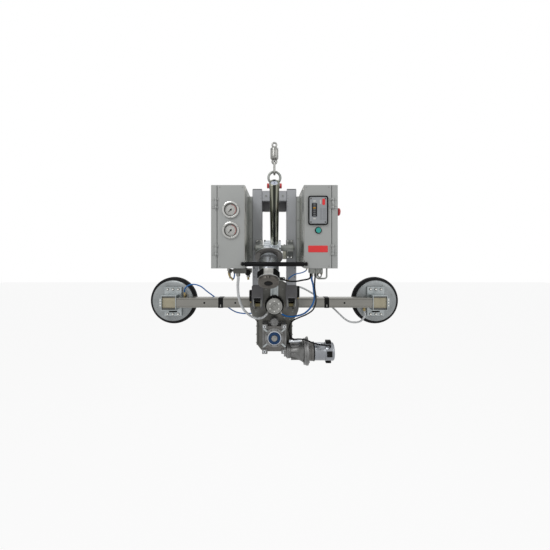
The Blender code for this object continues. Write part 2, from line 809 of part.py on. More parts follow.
def crossbars():
    """Two tubes between the uprights. The front one carries the lifting lug."""
    span = (-UPRIGHT_INNER + SEAT, UPRIGHT_INNER - SEAT)
    front = square_tube(
        "lifting_crossbar", span, (FRAME_FRONT, FRAME_FRONT + CROSSBAR_DEPTH),
        (CROSSBAR_FRONT_TOP - CROSSBAR_FRONT_HEIGHT, CROSSBAR_FRONT_TOP), CROSSBAR_WALL, "X")
    foot = CROSSBAR_FRONT_TOP - OVERLAP
    outline = [(FRAME_FRONT + CROSSBAR_DEPTH - ROUND_EDGE, foot), (FRAME_FRONT + ROUND_EDGE, foot)]
    outline += arc((0, SHACKLE_PIN_Z), LUG_RADIUS, 215, 0, 10)
    lug = slab("lug", [outline], LUG_THICKNESS, facing_side(0))
    hole = bore_cutter("lug_hole", (0, 0, SHACKLE_PIN_Z), SHACKLE_PIN_RADIUS + RUN, THROUGH, (1, 0, 0),
                       SMALL_SIDES)
    subtract(lug, hole)
    weld(front, lug)
    own_material(front, "frame_paint")
    back = FRAME_FRONT + UPRIGHT_DEPTH
    rear = square_tube(
        "rear_crossbar", span, (back - CROSSBAR_DEPTH, back),
        (CROSSBAR_REAR_TOP - CROSSBAR_REAR_HEIGHT, CROSSBAR_REAR_TOP), CROSSBAR_WALL, "X")
    own_material(rear, "frame_paint")
    return [front, rear]


def upright(sign):
    """Box upright whose open foot holds two ears of the tilt frame on a pin."""
    x = mirrored(sign, (UPRIGHT_INNER, UPRIGHT_INNER + UPRIGHT_WIDTH))
    y = (FRAME_FRONT, FRAME_FRONT + UPRIGHT_DEPTH)
    post = square_tube(
        "upright_" + side_name(sign), x, y, (UPRIGHT_BOTTOM, UPRIGHT_TOP), UPRIGHT_WALL, "Z")
    side = UPRIGHT_WALL - 0.0005
    fork = block("fork", (x[0] + side, x[1] - side), (y[0] - 0.01, y[1] + 0.01),
                 (UPRIGHT_BOTTOM - 0.01, FORK_TOP))
    hole = bore_cutter("pin_hole", (sum(x) / 2, TILT_Y, TILT_Z), TILT_PIN_RADIUS + SEAT, THROUGH,
                       (1, 0, 0), SMALL_SIDES)
    subtract(post, fork, hole)
    own_material(post, "frame_paint")
    return post


def tilt_pin(sign):
    """Hinge pin with its head, and the sleeve that keeps the ears apart."""
    inner = UPRIGHT_INNER - TILT_PIN_PROUD
    outer = UPRIGHT_INNER + UPRIGHT_WIDTH + SEAT
    end = outer + TILT_PIN_PROUD
    pin = drum(
        "tilt_pin_" + side_name(sign), (sign * (inner + end) / 2, TILT_Y, TILT_Z), TILT_PIN_RADIUS,
        end - inner,
        (1, 0, 0), SMALL_SIDES)
    head = drum("pin_head", (sign * (outer + end) / 2, TILT_Y, TILT_Z), 1.5 * TILT_PIN_RADIUS,
                TILT_PIN_PROUD - 0.0005, (1, 0, 0), SMALL_SIDES)
    sleeve_ends = (EAR_OFFSETS[0] + EAR_HALF + RUN, EAR_OFFSETS[1] - EAR_HALF - RUN)
    sleeve = drum("sleeve", (sign * sum(sleeve_ends) / 2, TILT_Y, TILT_Z), 1.4 * TILT_PIN_RADIUS,
                  sleeve_ends[1] - sleeve_ends[0], (1, 0, 0), SMALL_SIDES)
    weld(pin, head, sleeve)
    own_material(pin, "steel")
    return pin


def trunnion_bracket(sign):
    """Tapered bracket on the front of an upright, bored for the actuator's trunnion."""
    foot = FRAME_FRONT - SEAT
    bottom = BRACKET_TOP - BRACKET_HEIGHT
    outline = [(foot - EDGE, bottom + 2 * EDGE), (foot - EDGE, BRACKET_TOP - 2 * EDGE)]
    outline += arc((TRUNNION_Y, TRUNNION_Z), BRACKET_NOSE, 75, 285, 8)
    arm = slab("trunnion_bracket_" + side_name(sign), [outline], 1.5 * BRACKET_HALF,
               facing_side(sign * BRACKET_X))
    x = mirrored(sign, (BRACKET_X - BRACKET_HALF, BRACKET_X + BRACKET_HALF))
    plate = block("foot", x, (foot - BRACKET_PLATE, foot), (bottom, BRACKET_TOP), EDGE)
    weld(arm, plate)
    hole = bore_cutter("trunnion_hole", (sign * BRACKET_X, TRUNNION_Y, TRUNNION_Z),
                       TRUNNION_RADIUS + RUN, THROUGH, (1, 0, 0), SMALL_SIDES)
    subtract(arm, hole)
    own_material(arm, "zinc")
    return arm


# Control cases


def tray(name, x, y, z, wall, open_sign, lip):
    """Add a folded sheet box, open on the side that open_sign gives along x, with a lip round its mouth."""
    size = (x[1] - x[0], y[1] - y[0], z[1] - z[0])
    centre = (sum(x) / 2, sum(y) / 2, sum(z) / 2)
    bm = bmesh.new()
    bmesh.ops.create_cube(bm, size=1.0)
    bmesh.ops.scale(bm, vec=size, verts=bm.verts)
    mouth = max(bm.faces, key=lambda face: open_sign * face.calc_center_median().x)
    if lip:
        bmesh.ops.inset_region(bm, faces=[mouth], thickness=lip)
    bmesh.ops.delete(bm, geom=[mouth], context="FACES_ONLY")
    box = mesh_from(name, bm, Matrix.Translation(Vector(centre)))
    modifier = box.modifiers.new("sheet", "SOLIDIFY")
    modifier.thickness = wall
    modifier.offset = -1
    modifier.use_even_offset = True
    soften(box, FINE_EDGE)
    return box


def case_limits():
    """Return the y and z limits that a case and its door share."""
    return (CASE_FRONT, CASE_FRONT + CASE_DEPTH), (CASE_BOTTOM, CASE_TOP)


def hinge_axis(sign):
    """Return the x and y of a door's hinge axis."""
    return sign * (CASE_INNER + CASE_WIDTH + HINGE_AXIS_OUT), CASE_FRONT - HINGE_AXIS_FORE


def case(sign):
    """Sheet case between the frame and its door, with hinge knuckles and the strip that carries it."""
    y, z = case_limits()
    x = mirrored(sign, (CASE_INNER, CASE_INNER + CASE_WIDTH))
    shell = tray("case_" + side_name(sign), x, y, z, CASE_WALL, sign, CASE_LIP)
    rail_x = mirrored(sign, (UPRIGHT_INNER + UPRIGHT_WIDTH + SEAT, CASE_INNER + OVERLAP))
    rail = block("strip", rail_x, (RAIL_FRONT, RAIL_FRONT + RAIL_DEPTH), (RAIL_BOTTOM, RAIL_TOP),
                 FINE_EDGE)
    weld(shell, rail)
    axis_x, axis_y = hinge_axis(sign)
    outer = CASE_INNER + CASE_WIDTH
    knuckle = HINGE_HEIGHT / 4
    for level in HINGE_LEVELS:
        for end in (-1, 1):
            middle = level + end * (HINGE_HEIGHT / 2 - knuckle / 2)
            span = knuckle - RUN
            barrel = drum("knuckle", (axis_x, axis_y, middle), HINGE_BARREL, span, sides=TINY_SIDES)
            leaf_x = mirrored(sign, (outer - HINGE_LEAF / 3, outer - SEAT))
            leaf_y = (CASE_FRONT - HINGE_LEAF_THICKNESS, CASE_FRONT + OVERLAP)
            leaf_z = (middle - span / 2 + 0.0005, middle + span / 2 - 0.0005)
            leaf = block("leaf", leaf_x, leaf_y, leaf_z)
            tab_x = mirrored(sign, (outer - HINGE_LEAF / 4, abs(axis_x)))
            tab_y = (leaf_y[0] - SEAT, CASE_FRONT - RUN)
            tab = block("tab", tab_x, tab_y, (leaf_z[0] + SEAT, leaf_z[1] - SEAT))
            weld(shell, leaf, tab, barrel)
        weld(shell, drum("hinge_pin", (axis_x, axis_y, level), HINGE_PIN, HINGE_HEIGHT - knuckle,
                         sides=TINY_SIDES))
    return shell


def case_left():
    """Left case, with the two holes that the gauges pass through."""
    shell = case(-1)
    for level in GAUGE_LEVELS:
        subtract(shell, bore_cutter("gauge_hole", (-GAUGE_X, CASE_FRONT, level), GAUGE_BODY + SEAT,
                                    SHORT_CUT, (0, 1, 0), SMALL_SIDES))
    own_material(shell, "case_paint")
    return shell


def case_right():
    """Right case, with the push button's fixed ring."""
    shell = case(1)
    place = Vector((BUTTON_X, CASE_FRONT, BUTTON_Z))
    top = BUTTON_COLLAR_HEIGHT
    profile = [
        (0, top), (BUTTON_COLLAR - 0.001, top), (BUTTON_COLLAR, top - 0.001), (BUTTON_COLLAR, -OVERLAP),
        (BUTTON_NECK, -OVERLAP), (BUTTON_NECK, -BUTTON_DEPTH), (0, -BUTTON_DEPTH),
    ]
    weld(shell, turned("button_ring", profile, place, (0, -1, 0), SMALL_SIDES))
    recess = bore_cutter("button_recess", place - Vector((0, BUTTON_FLOOR + SHORT_CUT, 0)),
                         BUTTON_RADIUS + RUN, 2 * SHORT_CUT, (0, 1, 0), SMALL_SIDES)
    subtract(shell, recess, bore_cutter("button_bore", place, BUTTON_STEM + RUN, THROUGH, (0, 1, 0),
                                        SMALL_SIDES))
    own_material(shell, "case_paint")
    return shell


def start_button():
    """Green push button on its stem."""
    head = BUTTON_FLOOR + BUTTON_TRAVEL + SEAT
    profile = [
        (0, head + BUTTON_HEAD), (BUTTON_RADIUS - 0.0015, head + BUTTON_HEAD),
        (BUTTON_RADIUS, head + BUTTON_HEAD - 0.0015), (BUTTON_RADIUS, head), (BUTTON_STEM, head),
        (BUTTON_STEM, -BUTTON_DEPTH + BUTTON_TRAVEL), (0, -BUTTON_DEPTH + BUTTON_TRAVEL),
    ]
    button = turned("start_button", profile, (BUTTON_X, CASE_FRONT, BUTTON_Z), (0, -1, 0), SMALL_SIDES)
    own_material(button, "green_plastic")
    return button


def door(sign):
    """Folded door on the outer side of a case, with its hinge leaves and knuckles."""
    y, z = case_limits()
    inner = CASE_INNER + CASE_WIDTH + SEAT
    x = mirrored(sign, (inner, inner + DOOR_THICKNESS))
    panel = tray("door_" + side_name(sign), x, y, z, DOOR_WALL, -sign, DOOR_LIP)
    axis_x, axis_y = hinge_axis(sign)
    knuckle = HINGE_HEIGHT / 2 - 2 * RUN
    clear = abs(axis_x) + HINGE_BARREL + 3 * RUN
    for level in HINGE_LEVELS:
        leaf_y = (CASE_FRONT - HINGE_LEAF_THICKNESS, CASE_FRONT + OVERLAP)
        leaf_x = mirrored(sign, (clear, clear + 0.6 * HINGE_LEAF))
        leaf = block("leaf", leaf_x, leaf_y, (level - HINGE_HEIGHT / 2, level + HINGE_HEIGHT / 2),
                     FINE_EDGE)
        tab_x = mirrored(sign, (abs(axis_x), clear + 0.002))
        tab = block("tab", tab_x, (leaf_y[0] + 0.0003, leaf_y[1] - 0.0005),
                    (level - knuckle / 2 + 0.0005, level + knuckle / 2 - 0.0005))
        barrel = drum("knuckle", (axis_x, axis_y, level), HINGE_BARREL, knuckle, sides=TINY_SIDES)
        weld(panel, leaf, tab, barrel)
        subtract(panel, bore_cutter("pin_hole", (axis_x, axis_y, level), HINGE_PIN + RUN, HINGE_HEIGHT,
                                    sides=TINY_SIDES))
    return panel


def door_left():
    """Left door."""
    panel = door(-1)
    own_material(panel, "case_paint")
    return panel


def door_right():
    """Right door, with the emergency stop's fixed collar."""
    panel = door(1)
    outside = CASE_INNER + CASE_WIDTH + SEAT + DOOR_THICKNESS
    place = Vector((outside, STOP_Y, STOP_Z))
    profile = [
        (0, STOP_COLLAR_HEIGHT), (STOP_COLLAR - 0.001, STOP_COLLAR_HEIGHT),
        (STOP_COLLAR, STOP_COLLAR_HEIGHT - 0.001),
        (STOP_COLLAR, -OVERLAP), (STOP_NECK, -OVERLAP), (STOP_NECK, -STOP_DEPTH), (0, -STOP_DEPTH),
    ]
    weld(panel, turned("stop_collar", profile, place, (1, 0, 0), SMALL_SIDES))
    subtract(panel, bore_cutter("stop_bore", place, STOP_STEM + RUN, THROUGH, (1, 0, 0), SMALL_SIDES))
    own_material(panel, "case_paint")
    return panel


def stop_head():
    """Red mushroom head of the emergency stop on its stem."""
    under = STOP_COLLAR_HEIGHT + STOP_TRAVEL + SEAT
    top = under + STOP_HEAD_HEIGHT
    profile = [
        (0, top), (0.6 * STOP_HEAD, top - 0.001), (0.85 * STOP_HEAD, top - 0.004),
        (STOP_HEAD, top - 0.008),
        (STOP_HEAD, under + 0.002), (STOP_HEAD - 0.002, under), (STOP_STEM, under),
        (STOP_STEM, -STOP_DEPTH + STOP_TRAVEL), (0, -STOP_DEPTH + STOP_TRAVEL),
    ]
    outside = CASE_INNER + CASE_WIDTH + SEAT + DOOR_THICKNESS
    head = turned("stop_head", profile, (outside, STOP_Y, STOP_Z), (1, 0, 0), SMALL_SIDES)
    own_material(head, "red_plastic")
    return head


def gauge(name, level):
    """Vacuum gauge: flange, dial recess and the body behind the case front."""
    floor = GAUGE_FLANGE_THICKNESS - GAUGE_DIAL_DEPTH
    boss = floor + GAUGE_BOSS
    profile = [
        (0, boss), (NEEDLE_HUB / 2, boss), (NEEDLE_HUB / 2, floor), (GAUGE_DIAL, floor),
        (GAUGE_DIAL, GAUGE_FLANGE_THICKNESS), (GAUGE_FLANGE - 0.003, GAUGE_FLANGE_THICKNESS),
        (GAUGE_FLANGE, GAUGE_FLANGE_THICKNESS - 0.003), (GAUGE_FLANGE, 0), (GAUGE_BODY, 0),
        (GAUGE_BODY, -GAUGE_BODY_LENGTH), (0, -GAUGE_BODY_LENGTH),
    ]
    body = turned(name, profile, (-GAUGE_X, CASE_FRONT - SEAT, level), (0, -1, 0))
    own_material(body, "chrome")
    return body


def needle(name, level):
    """Needle on the gauge's centre boss. It points down to the left at rest."""
    turn = math.radians(NEEDLE_REST)
    shape = [(NEEDLE_LENGTH, 0.0004), (NEEDLE_HUB * 0.9, 0.0012)]
    shape += arc((0, 0), NEEDLE_HUB, 30, 150, 4) + [(-NEEDLE_TAIL, 0.001), (-NEEDLE_TAIL, -0.001)]
    shape += arc((0, 0), NEEDLE_HUB, 210, 330, 4) + [(NEEDLE_HUB * 0.9, -0.0012),
                                                     (NEEDLE_LENGTH, -0.0004)]
    turned_shape = [(x * math.cos(turn) - z * math.sin(turn),
                     x * math.sin(turn) + z * math.cos(turn)) for x, z in shape]
    height = GAUGE_FLANGE_THICKNESS - GAUGE_DIAL_DEPTH + GAUGE_BOSS + SEAT + NEEDLE_THICKNESS / 2
    plane = Matrix.Translation(Vector((-GAUGE_X, 0, level))) @ facing_front(CASE_FRONT - SEAT - height)
    pointer = slab(name, [turned_shape], NEEDLE_THICKNESS, plane)
    own_material(pointer, "black_plastic")
    return pointer


def control_panel():
    """Display housing on the right case, with its face set back in a rim."""
    back = CASE_FRONT - SEAT
    x = (PANEL_X - PANEL_WIDTH / 2, PANEL_X + PANEL_WIDTH / 2)
    z = (PANEL_Z - PANEL_HEIGHT / 2, PANEL_Z + PANEL_HEIGHT / 2)
    panel = block("control_panel", x, (back - PANEL_THICKNESS, back), z, ROUND_EDGE)
    front = back - PANEL_THICKNESS
    face = block("face", (x[0] + PANEL_RIM, x[1] - PANEL_RIM), (front - SHORT_CUT, front + PANEL_RECESS),
                 (z[0] + PANEL_RIM, z[1] - PANEL_RIM))
    subtract(panel, face)
    own_material(panel, "black_plastic")
    return panel


def handle_bar():
    """Round bar across both case fronts, on a foot at each end."""
    bar = drum("handle_bar", (0, HANDLE_Y, HANDLE_Z), HANDLE_RADIUS, 2 * HANDLE_END + HANDLE_FOOT,
               (1, 0, 0), SMALL_SIDES)
    soften(bar, ROUND_EDGE)
    for sign in (-1, 1):
        y = (HANDLE_Y + CASE_FRONT - SEAT) / 2
        weld(bar, drum("foot", (sign * HANDLE_END, y, HANDLE_Z), HANDLE_FOOT,
                       CASE_FRONT - SEAT - HANDLE_Y, (0, 1, 0), TINY_SIDES))
    own_material(bar, "black_plastic")
    return bar


def battery_pack():
    """Two sealed batteries joined by a strap, on the left case's floor."""
    floor = CASE_BOTTOM + CASE_WALL + SEAT
    width, depth, height = BATTERY_SIZE
    x = (-CASE_INNER - CASE_WALL - SEAT - width, -CASE_INNER - CASE_WALL - SEAT)
    start = CASE_FRONT + BATTERY_SETBACK
    first = (start, start + depth)
    second = (first[1] + BATTERY_GAP, first[1] + BATTERY_GAP + depth)
    pack = block("battery_pack", x, first, (floor, floor + height), ROUND_EDGE)
    weld(pack, block("second", x, second, (floor + 0.0001, floor + height + 0.0001), ROUND_EDGE))
    strap = block("strap", (x[0] + 0.02, x[1] - 0.02), (first[0] + 0.03, second[1] - 0.03),
                  (floor + height - 0.01, floor + height + 0.003), 0.001)
    weld(pack, strap)
    for y in first[0] + 0.015, first[1] - 0.015, second[0] + 0.015, second[1] - 0.015:
        terminal = block("terminal", (x[0] + 0.008, x[0] + 0.018), (y - 0.003, y + 0.003),
                         (floor + height - 0.002, floor + height + 0.008))
        weld(pack, terminal)
    own_material(pack, "battery_case")
    return pack


def vacuum_pump():
    """Diaphragm pump: motor, head block and feet, on the right case's floor."""
    floor = CASE_BOTTOM + CASE_WALL + SEAT
    x = CASE_INNER + CASE_WALL + PUMP_HEAD / 2 + 0.004
    axis = floor + PUMP_FOOT + PUMP_RADIUS
    head_y = (PUMP_Y, PUMP_Y + PUMP_HEAD_DEPTH)
    pump = block("vacuum_pump", (x - PUMP_HEAD / 2, x + PUMP_HEAD / 2), head_y,
                 (floor, axis + PUMP_RADIUS + 0.008), 0.004)
    motor = drum("motor", (x, head_y[1] + PUMP_LENGTH / 2 - OVERLAP, axis), PUMP_RADIUS, PUMP_LENGTH,
                 (0, 1, 0), SMALL_SIDES)
    soften(motor, ROUND_EDGE)
    foot_y = head_y[1] + 0.7 * PUMP_LENGTH
    foot = block("foot", (x - PUMP_RADIUS, x + PUMP_RADIUS), (foot_y, foot_y + 0.02), (floor, axis))
    weld(pump, motor, foot)
    own_material(pump, "cast_aluminium")
    return pump


# Tilt actuator, drawn in its own frame: Z along the tube, Y away from the motor


def actuator_frame():
    """Return the matrix at the trunnion axis whose Z runs up the tube."""
    lean = math.atan2(ROD_PIN_Y - TRUNNION_Y, TRUNNION_Z - ROD_PIN_Z)
    return Matrix.Translation(Vector((0, TRUNNION_Y, TRUNNION_Z))) @ Matrix.Rotation(lean, 4, "X")


def in_frame(frame, point):
    """Return a point of the frame in row coordinates."""
    return frame @ Vector(point)


def frame_direction(frame, direction):
    """Return a direction of the frame in row coordinates."""
    return frame.to_3x3() @ Vector(direction)


def gear_case(frame):
    """Actuator gear case with ribs, trunnions and the pocket that the tube stands in."""
    x = (GEARCASE_LEFT, GEARCASE_RIGHT)
    y = (-GEARCASE_MOTOR_SIDE, GEARCASE_BACK_SIDE)
    z = (-GEARCASE_REAR, GEARCASE_NOSE)
    body = block("actuator_gear_case", x, y, z, CASTING_EDGE, frame)
    pitch = (GEARCASE_RIGHT - GEARCASE_LEFT) / (2 * GEARCASE_RIBS)
    for i in range(GEARCASE_RIBS):
        for edge in (GEARCASE_LEFT, GEARCASE_RIGHT):
            towards = 1 if edge < 0 else -1
            slot_x = edge + towards * (0.008 + i * 0.6 * pitch)
            if abs(slot_x) < TUBE_RADIUS + 0.006:
                continue
            slot = block("slot", (slot_x - 0.0015, slot_x + 0.0015), (y[0] - 0.01, y[1] + 0.01),
                         (z[1] - 0.005, z[1] + 0.01), 0, frame)
            subtract(body, slot)
    along = frame_direction(frame, (0, 0, 1))
    pocket_depth = GEARCASE_NOSE - TUBE_FOOT
    pocket = bore_cutter("pocket", in_frame(frame, (0, 0, TUBE_FOOT + pocket_depth)),
                         TUBE_RADIUS + 0.0025,
                  2 * pocket_depth, along, SMALL_SIDES)
    bore = bore_cutter("bore", in_frame(frame, (0, 0, 0)), ROD_RADIUS + RUN, THROUGH, along, SMALL_SIDES)
    reach = BRACKET_X + BRACKET_HALF
    trunnion = drum("trunnion", (0, TRUNNION_Y, TRUNNION_Z), TRUNNION_RADIUS, 2 * reach, (1, 0, 0),
                    SMALL_SIDES)
    for sign in (-1, 1):
        start = GEARCASE_RIGHT if sign > 0 else -GEARCASE_LEFT
        shoulder_end = BRACKET_X - 0.75 * BRACKET_HALF - RUN
        if shoulder_end - start > 0.002:
            shoulder = drum("shoulder",
                            (sign * (start - OVERLAP + shoulder_end) / 2, TRUNNION_Y, TRUNNION_Z),
                            1.5 * TRUNNION_RADIUS, shoulder_end - start + OVERLAP, (1, 0, 0), SMALL_SIDES)
            weld(body, shoulder)
    weld(body, trunnion)
    subtract(body, pocket, bore)
    own_material(body, "cast_aluminium")
    return body


def actuator_tube(frame):
    """Chrome tube round the retracted rod, tapered where it stands in the gear case."""
    foot = TUBE_FOOT + SEAT
    inner = ROD_RADIUS + RUN
    profile = [
        (0, TUBE_REACH - TUBE_END_RECESS), (TUBE_BORE, TUBE_REACH - TUBE_END_RECESS),
        (TUBE_BORE, TUBE_REACH),
        (TUBE_RADIUS - 0.002, TUBE_REACH), (TUBE_RADIUS, TUBE_REACH - 0.002),
        (TUBE_RADIUS, foot + TUBE_TAPER),
        (inner + 0.002, foot), (inner, foot), (inner, TUBE_REACH - TUBE_END_WALL),
        (0, TUBE_REACH - TUBE_END_WALL),
    ]
    tube = turned("actuator_tube", profile, in_frame(frame, (0, 0, 0)), frame_direction(frame, (0, 0, 1)))
    own_material(tube, "chrome")
    return tube


def tilt_motor(frame):
    """Tilt motor: round flange, neck, can, brush covers and end cap, across the tube."""
    near = GEARCASE_MOTOR_SIDE + SEAT
    end = MOTOR_END
    profile = [
        (0, end - 0.005), (MOTOR_END_HOLE, end - 0.005), (MOTOR_END_HOLE, end), (MOTOR_CAN - 0.006, end),
        (MOTOR_CAN, end - 0.006), (MOTOR_CAN, MOTOR_CAN_AT + 0.003),
        (MOTOR_CAN - 0.003, MOTOR_CAN_AT), (MOTOR_NECK, MOTOR_CAN_AT),
        (MOTOR_NECK, MOTOR_FLANGE_AT + MOTOR_FLANGE_THICKNESS),
        (MOTOR_FLANGE, MOTOR_FLANGE_AT + MOTOR_FLANGE_THICKNESS), (MOTOR_FLANGE, MOTOR_FLANGE_AT),
        (MOTOR_NECK - 0.006, MOTOR_FLANGE_AT), (MOTOR_NECK - 0.006, near), (0, near),
    ]
    place = in_frame(frame, (MOTOR_X, 0, 0))
    motor = turned("tilt_motor", profile, place, frame_direction(frame, (0, -1, 0)))
    for sign in (-1, 1):
        reach = MOTOR_CAN + BRUSH_TILT_PROUD
        x = mirrored(sign, (MOTOR_CAN - 0.022, reach))
        x = (x[0] + MOTOR_X, x[1] + MOTOR_X)
        cover = block("brush_cover", x, (-MOTOR_CAP_AT - BRUSH_LENGTH, -MOTOR_CAP_AT - 0.004),
                      (-BRUSH_WIDTH / 2, BRUSH_WIDTH / 2), 0.003, frame)
        weld(motor, cover)
    own_material(motor, "steel")
    return motor


def actuator_rod(frame):
    """Rod that slides out of the gear case, with its eye and short pin."""
    reach = math.hypot(ROD_PIN_Y - TRUNNION_Y, ROD_PIN_Z - TRUNNION_Z)
    top = TUBE_REACH - TUBE_END_WALL - 0.010
    along = frame_direction(frame, (0, 0, 1))
    rod = drum("actuator_rod", in_frame(frame, (0, 0, (top - reach) / 2)), ROD_RADIUS, top + reach,
               along, SMALL_SIDES)
    centre = (0, ROD_PIN_Y, ROD_PIN_Z)
    eye = drum("eye", centre, ROD_EYE_RADIUS, 2 * ROD_EYE_HALF, (1, 0, 0), SMALL_SIDES)
    pin = drum("eye_pin", centre, ROD_PIN, 2 * (CLEVIS_INNER - RUN), (1, 0, 0), SMALL_SIDES)
    weld(rod, eye, pin)
    own_material(rod, "steel")
    return rod


# Tilt frame


def carrier_plate():
    """Pear-shaped plate with ribs and the four ears that hang on the tilt pins."""
    waist = math.degrees(math.asin(math.sqrt(PLATE_LOBE ** 2 - PLATE_HALF ** 2) / PLATE_LOBE))
    outline = arc((0, AXIS_Z), PLATE_LOBE, -waist, 180 + waist, 26)
    outline += [(-PLATE_HALF, PLATE_CORNER_Z), (-PLATE_BOTTOM_HALF, PLATE_BOTTOM_Z)]
    outline += [(PLATE_BOTTOM_HALF, PLATE_BOTTOM_Z), (PLATE_HALF, PLATE_CORNER_Z)]
    middle = PLATE_FRONT + PLATE_THICKNESS / 2
    plate = slab("carrier_plate", [outline], PLATE_THICKNESS, facing_front(middle))
    holes = [((0, middle, AXIS_Z), SPINDLE_RADIUS), ((0, middle, OUTPUT_Z), SHAFT_RADIUS)]
    for centre, radius in holes:
        subtract(plate, bore_cutter("plate_hole", centre, radius + RUN, THROUGH, (0, 1, 0), SMALL_SIDES))
    for sign in (-1, 1):
        rib_x = mirrored(sign, (PLATE_HALF - PLATE_RIB - OVERLAP, PLATE_HALF - OVERLAP))
        rib = block("rib", rib_x, (PLATE_FRONT - PLATE_RIB_DEPTH, PLATE_FRONT + OVERLAP),
                    (PLATE_CORNER_Z, PLATE_RIB_TOP), FINE_EDGE)
        weld(plate, rib)
        for offset in EAR_OFFSETS:
            outline = arc((TILT_Y, TILT_Z), EAR_RADIUS, 100, 260, 7)
            outline += [(PLATE_FRONT + OVERLAP, TILT_Z - 2 * EAR_RADIUS),
                        (PLATE_FRONT + OVERLAP, TILT_Z + 1.3 * EAR_RADIUS)]
            ear = slab("ear", [outline], 2 * EAR_HALF, facing_side(sign * offset))
            subtract(ear, bore_cutter("ear_hole", (sign * offset, TILT_Y, TILT_Z),
                                      TILT_PIN_RADIUS + RUN, SHORT_CUT, (1, 0, 0), SMALL_SIDES))
            weld(plate, ear)
    own_material(plate, "zinc")
    return plate


def rod_clevis():
    """Two upright ears on the plate, on either side of the rod's eye."""
    back = PLATE_FRONT - SEAT
    half = CLEVIS_INNER + CLEVIS_EAR
    lobe_top = AXIS_Z + PLATE_LOBE
    z = (CLEVIS_BOTTOM, lobe_top - 0.006)
    clevis = block("rod_clevis", (-half, half), (back - CLEVIS_EAR, back), z, FINE_EDGE)
    for sign in (-1, 1):
        outline = [(back - 0.001, z[0] + 0.001), (back - 0.001, z[1])]
        outline += arc((ROD_PIN_Y, ROD_PIN_Z), CLEVIS_NOSE, 0, 180, 8)
        outline += [(ROD_PIN_Y - 0.010, z[0] + 0.001)]
        middle = sign * (CLEVIS_INNER + CLEVIS_EAR / 2)
        ear = slab("ear", [outline], CLEVIS_EAR - 0.0006, facing_side(middle))
        subtract(ear, bore_cutter("ear_hole", (middle, ROD_PIN_Y, ROD_PIN_Z), ROD_PIN + RUN, SHORT_CUT,
                                  (1, 0, 0), SMALL_SIDES))
        weld(clevis, ear)
    own_material(clevis, "steel")
    return clevis


def rotary_union():
    """Turned union that passes vacuum to the rotor, with its black ring and centre plug."""
    base = PLATE_FRONT - SEAT
    height = base - UNION_FRONT
    ring_top = base - UNION_RING_FRONT
    ring_low = ring_top - UNION_RING_DEPTH
    profile = [
        (0, height + 0.003), (UNION_PLUG - 0.001, height + 0.003), (UNION_PLUG, height + 0.002),
        (UNION_PLUG, height),
        (UNION_RADIUS - 0.002, height), (UNION_RADIUS, height - 0.002), (UNION_RADIUS, ring_top),
        (UNION_RING, ring_top), (UNION_RING, ring_low), (UNION_RADIUS, ring_low), (UNION_RADIUS, 0),
        (0, 0),
    ]
    body = turned("rotary_union", profile, (0, base, AXIS_Z), (0, -1, 0), PAD_SIDES)
    own_material(body, "aluminium")
    return body


def worm_gearbox():
    """Worm gearbox on the plate, with feet, output rim, top boss and input flange."""
    back = PLATE_FRONT - SEAT
    body = block("worm_gearbox", (-GEARBOX_HALF, GEARBOX_HALF), (GEARBOX_FRONT, back),
                 (GEARBOX_BOTTOM, GEARBOX_TOP), GEARBOX_EDGE)
    notch = block("notch", (-GEARBOX_NOTCH, GEARBOX_NOTCH), (0, THROUGH),
                  (GEARBOX_BOTTOM - SHORT_CUT, GEARBOX_BOTTOM + GEARBOX_NOTCH_HEIGHT))
    rim_front = GEARBOX_FRONT - GEARBOX_RIM_HEIGHT
    rim = drum("rim", (0, (rim_front + GEARBOX_FRONT + 0.004) / 2, OUTPUT_Z), GEARBOX_RIM,
               GEARBOX_RIM_HEIGHT + 0.004, (0, 1, 0))
    boss_front = GEARBOX_FRONT + 0.008
    boss = drum("boss", (0, (boss_front + back - 0.01) / 2, GEARBOX_BOSS_Z), GEARBOX_BOSS,
                back - 0.01 - boss_front, (0, 1, 0), SMALL_SIDES)
    flange_start = GEARBOX_HALF - 0.012
    flange = drum("input_flange", ((flange_start + BELL_START - SEAT) / 2, DRIVE_Y, DRIVE_Z), DRIVE_INPUT,
                  BELL_START - SEAT - flange_start, (1, 0, 0))
    bore = bore_cutter("bore", (0, 0.08, OUTPUT_Z), SHAFT_RADIUS + RUN, THROUGH, (0, 1, 0), SMALL_SIDES)
    subtract(body, notch)
    weld(body, rim, boss, flange)
    subtract(body, bore)
    own_material(body, "cast_aluminium")
    return body


def shaft_seal():
    """Navy ring over the gearbox output."""
    front = GEARBOX_FRONT - GEARBOX_RIM_HEIGHT - SEAT
    inner = SHAFT_RADIUS + 2 * RUN
    profile = [
        (SEAL_RADIUS - 0.001, SEAL_HEIGHT), (SEAL_RADIUS, SEAL_HEIGHT - 0.001), (SEAL_RADIUS, 0),
        (inner, 0), (inner, SEAL_HEIGHT - 0.001), (inner + 0.001, SEAL_HEIGHT),
    ]
    seal = turned("shaft_seal", profile, (0, front, OUTPUT_Z), (0, -1, 0))
    own_material(seal, "navy_plastic")
    return seal


def gear_bell():
    """Tapered gear stage between the worm gearbox and the motor, with a small cylinder on its back."""
    length = BELL_END - BELL_START
    profile = [
        (0, length), (BELL_LARGE, length), (BELL_LARGE, length - 0.008),
        (BELL_LARGE - 0.004, length - 0.014),
        (BELL_LARGE - 0.009, length - 0.034), (BELL_SMALL + 0.004, 0.020), (BELL_SMALL, 0.004),
        (BELL_SMALL, 0), (0, 0),
    ]
    bell = turned("gear_bell", profile, (BELL_START, DRIVE_Y, DRIVE_Z), (1, 0, 0))
    span = (BELL_START + 0.003, BELL_END - 0.016)
    height = DRIVE_Z + BELL_LARGE
    side = drum("side_cylinder", (sum(span) / 2, DRIVE_Y, height), 0.0105, span[1] - span[0], (1, 0, 0),
                SMALL_SIDES)
    weld(bell, side)
    own_material(bell, "cast_aluminium")
    return bell


